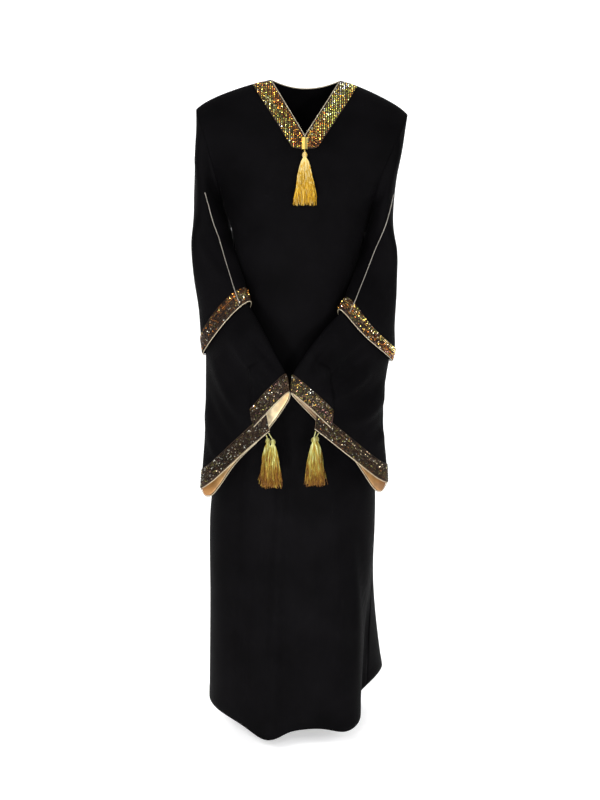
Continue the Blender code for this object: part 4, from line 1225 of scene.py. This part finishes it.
def addTassel(name, start, swing, kind, look, seed):
    draw = random.Random(seed)
    curve = bpy.data.curves.new(name, "CURVE")
    curve.dimensions = "3D"
    curve.bevel_depth = tassel["thread"]
    curve.bevel_resolution = 0
    curve.use_fill_caps = True
    high = tassel["knot"]
    start, swing = Vector(start), Vector(swing)
    knot = start + swing - Vector((0, 0, high + kind["cord"]))
    addKnot(curve, start, knot)
    skirt = kind["length"] - 2 * high - kind["cord"]
    slow, fast = tassel["waveTurns"]
    for i in range(tassel["strands"]):
        turn = math.tau * (i * tassel["golden"] % 1)
        turn += tassel["bunching"] * math.sin(tassel["bunches"] * turn)
        ring = math.sqrt((i + 0.5) / tassel["strands"])
        stray = tassel["strayReach"] if draw.random() < tassel["stray"] else 1.0
        out = Vector((math.cos(turn) * kind["wide"], math.sin(turn) * kind["deep"], 0)) * ring * stray
        root = Vector((math.cos(turn), math.sin(turn), 0)) * high * tassel["rootRing"] * ring
        uneven = tassel["ragged"] * draw.random() ** 2 + tassel["hollow"] * math.sin(turn * tassel["lobes"])
        length = skirt * (1 - uneven)
        phase, wave = draw.uniform(0, math.tau), tassel["wave"] * draw.uniform(*tassel["waveSizes"])
        line = []
        for j in range(tassel["points"]):
            t = j / (tassel["points"] - 1)
            flare = t ** kind["neck"]
            place = knot + root * (1 - flare) + out * flare
            place.z -= high * tassel["rootDrop"] + length * t
            place.y -= kind["lean"] * smooth(t * tassel["leanShare"])
            ripple = (math.sin(phase + t * slow) + 0.5 * math.sin(phase * 2 + t * fast)) * wave * t
            line.append(place + Vector((ripple, ripple * tassel["waveBack"], 0)))
        addLine(curve, line, draw.uniform(*tassel["thickness"]))
    finishPiece(link(name + "_silk", curve), look, (name,))


# Making everything

# the cloth is double along the hem, so it stands out a little
hemFold = {"high": 0.022, "lift": 0.0007, "step": 0.0035}


def foldHem(grid, outs):
    high = np.linalg.norm(grid - grid[-1:], axis=2)
    t = np.clip((hemFold["high"] - high) / hemFold["step"], 0, 1)
    return grid + outs * (hemFold["lift"] * t * t * (3 - 2 * t))[..., None]


def addBody():
    panels = {}
    for name, side in (("body_front", -1), ("body_back", 1)):
        grid = bodyGrid(side)
        outs = outward(grid, -1)
        grid = foldHem(pressCreases(grid, outs, creases[name], side > 0), outs)
        outs = outward(grid, -1)
        panels[side] = (grid, outs)
        addSheet(name + "_cloth", grid, outs, 0, wall["cloth"], 0, "cloth", name)
    return panels


def addNeck(panels):
    inner, outer = frontBandPaths()
    for side, sign in (("left", -1), ("right", 1)):
        grid, outs = bandGrid(inner, outer, neckBand["rows"], neckBand["columns"], -1, sign)
        trim = "neck_trim_" + side
        addSheet(trim + "_net", grid, outs, trimLow, wall["trim"], 0, "net", trim)
        addStones(trim, neckSpots(sign))
    inner, outer = backBandPaths()
    grid, outs = bandGrid(inner, outer, neckBand["backRows"], neckBand["columns"], 1, 1)
    addSheet("neck_trim_back_net", grid, outs, trimLow, wall["trim"], 0, "net", "neck_trim_back")
    addStones("neck_trim_back", backSpots())

    # piping round the whole neck edge
    points = []
    for side, (grid, outs) in panels.items():
        columns = bodyColumns() * -side
        pick = [c for c, column in enumerate(columns) if abs(column) <= body["neckColumn"] + 1e-6]
        line = [(grid[0][c], outs[0][c], grid[1][c]) for c in pick]
        points += line if side < 0 else line[1:-1]
    addCord("neck_cord", edgeLine(*zip(*points), trimHigh / 2, True), True, "cord", "neck_piping")

    # the tab that closes the V
    frames = [[wornFrame(x, z, -1) for x in np.linspace(-tab["half"], tab["half"], tab["columns"])]
              for z in np.linspace(tab["top"], tab["end"], tab["rows"])]
    grid = np.array([[frame[0] for frame in row] for row in frames])
    outs = np.array([[frame[1] for frame in row] for row in frames])
    addSheet("neck_tab_strip", grid, outs, trimLow, tab["thick"], 0, "tab", "neck_tab")


def sleevePanel(name, rings, side, turn, closedRing):
    # the sleeve in its pose, with its creases; its rows close round as far as closedRing
    if side == "left":
        rings = rings * np.array((-1, 1, 1))
    rings = np.array([[settle(point) for point in row] for row in rings])
    steps = rowSteps(rings)
    grid = refineRows(rings, steps)
    joined = sum(steps[:closedRing]) + 1
    outs = outward(grid, turn, joined)
    grid = pressCreases(grid, outs, creases[name], False)
    grid = pressCreases(grid, outs, farCreases[name], True)
    outs = outward(grid, turn, joined)
    piece = addSheet(name + "_cloth", grid, outs, 0, wall["cloth"], joined, "cloth", name)
    band = slice(len(grid) - 1 - steps[-1], len(grid))
    return piece, grid[band], outs[band]


def addOverSleeve(side, turn, column):
    name, trim = "oversleeve_" + side, "oversleeve_trim_" + side
    rings = overSleeveRings(column)
    over, grid, outs = sleevePanel(name, rings, side, turn, sleeve["overHemRing"])
    net = addSheet(trim + "_net", grid, outs, trimLow, wall["trim"], len(grid), "net", trim)
    addStones(trim, ringSpots(grid, outs))
    hem = edgeLine(grid[-1][:-1], outs[-1][:-1], grid[-2][:-1], trimHigh / 2, True)
    addCord(name + "_hem_cord", hem, True, "cord", "oversleeve_piping_" + side)
    slit = slitLine(side, over, net)
    addCord(name + "_slit_cord", slit, False, "slitCord", "slit_piping_" + side, slits["thin"])


def addLongSleeve(side, turn, column):
    # hands back the two points of the cuff's edge that its tassels hang from
    trim, facing = "cuff_trim_" + side, "cuff_facing_" + side
    rings = longSleeveRings(column)
    _, grid, outs = sleevePanel("sleeve_" + side, rings, side, -turn, sleeve["slitRing"])
    addSheet(trim + "_net", grid, outs, trimLow, wall["trim"], 0, "net", trim)
    addStones(trim, ringSpots(grid, outs))
    low = -wall["lay"] - wall["facing"]
    addSheet(facing + "_satin", grid, outs, low, wall["facing"], 0, "satin", facing)
    line = edgeLine(grid[-1], outs[-1], grid[-2], wall["cloth"] / 2, False)
    addCord("cuff_cord_" + side, line, False, "cord", "cuff_piping_" + side)
    return line[0], line[sleeve["fineAround"] // sleeve["around"]]


def addTassels(edges):
    for side, name, along, across, back, seed in cuffTassels:
        first, second = edges[side]
        start = first.lerp(second, along) - Vector((0, 0, cuffTassel["drop"]))
        addTassel(f"tassel_{side}_{name}", start, (across, back, 0), cuffTassel, "silk", seed)
    end = Vector(wornPoint(0.0, tab["end"], -1))
    start = end - Vector((0, trimHigh + neckTassel["clear"], wall["lay"]))
    addTassel("tassel_neck", start, neckTassel["swing"], neckTassel, "neckSilk", neckTassel["seed"])


# Studio and camera

camera = {"place": (0, -2.9, -0.05), "tilt": 77.5, "focal": 1330, "frame": 800, "sensor": 36}
studio = {
    # the paper: height of the floor, half width, front edge, where it starts to rise, radius there, top
    "floor": -1.475, "wide": 8, "front": -7.0, "rise": 3.0, "bend": 1.5, "top": 7.0,
    "bendStart": 0.1, "bendSteps": 12,
    "paper": {"Roughness": 0.9, "Specular IOR Level": 0.1, "Emission Color": (1, 1, 1, 1)},
    "white": (0.90, 0.90, 0.905), "glow": 0.42, "sky": (1.0, 1.0, 1.0), "strength": 0.42,
    # name, place, size, power, what it points at
    "lamps": (
        ("keyLight", (-1.9, -2.6, 1.5), 1.3, 78, (0, 0, -0.5)),
        ("fillLight", (2.3, -2.2, 0.7), 1.3, 44, (0, 0, -0.6)),
        ("topLight", (0.2, 0.9, 2.0), 1.2, 26, (0, 0, -0.3)),
        ("sparkLight", (-0.4, -3.3, 0.9), 0.30, 26, (0, -0.1, -0.5)),
        ("lowLight", (0.6, -3.0, -1.1), 0.40, 34, (0, -0.1, -0.6)),
        ("cuffLight", (-0.5, -2.0, -1.35), 0.30, 24, (-0.08, -0.15, -0.52)),
    ),
}


def addStudio():
    mesh = bmesh.new()
    low, rise, bend = studio["floor"], studio["rise"], studio["bend"]
    profile = [(studio["front"], low), (rise, low)]
    profile += [(rise + bend * math.sin(t), low + bend * (1 - math.cos(t)))
                for t in np.linspace(studio["bendStart"], math.pi / 2, studio["bendSteps"])]
    profile.append((rise + bend, studio["top"]))
    verts = [mesh.verts.new((-studio["wide"], y, z)) for y, z in profile]
    edges = [mesh.edges.new(pair) for pair in zip(verts, verts[1:])]
    swept = bmesh.ops.extrude_edge_only(mesh, edges=edges)
    moved = [item for item in swept["geom"] if isinstance(item, bmesh.types.BMVert)]
    bmesh.ops.translate(mesh, verts=moved, vec=(2 * studio["wide"], 0, 0))
    bmesh.ops.recalc_face_normals(mesh, faces=mesh.faces)
    data = bpy.data.meshes.new("backdrop")
    mesh.to_mesh(data)
    mesh.free()
    data.shade_smooth()
    made, _, shader = newMaterial("paper", studio["paper"])
    shader.inputs["Base Color"].default_value = (*studio["white"], 1)
    shader.inputs["Emission Strength"].default_value = studio["glow"]
    data.materials.append(made)
    link("backdrop", data)

    world = bpy.data.worlds.new("studio")
    world.use_nodes = True
    world.node_tree.nodes["Background"].inputs["Color"].default_value = (*studio["sky"], 1)
    world.node_tree.nodes["Background"].inputs["Strength"].default_value = studio["strength"]
    bpy.context.scene.world = world
    for name, place, size, power, target in studio["lamps"]:
        lamp = bpy.data.lights.new(name, "AREA")
        lamp.size = size
        lamp.energy = power
        made = link(name, lamp)
        made.location = place
        made.rotation_euler = (Vector(target) - Vector(place)).to_track_quat("-Z", "Y").to_euler()


def addCamera():
    data = bpy.data.cameras.new("camera")
    data.sensor_width = camera["sensor"]
    data.lens = camera["focal"] / camera["frame"] * camera["sensor"]
    made = link("camera", data)
    made.location = camera["place"]
    made.rotation_euler = (math.radians(camera["tilt"]), 0, 0)
    bpy.context.scene.camera = made


bpy.context.scene.view_settings.view_transform = "Standard"
addCamera()
addStudio()
print("studio ready")
panels = addBody()
print("body made")
addNeck(panels)
print("neck made")
cuffEdges = {}
for side, turn, column in (("left", -1, 1), ("right", 1, 2)):
    addOverSleeve(side, turn, column)
    cuffEdges[side] = addLongSleeve(side, turn, column)
print("sleeves made")
addTassels(cuffEdges)
print("tassels made")
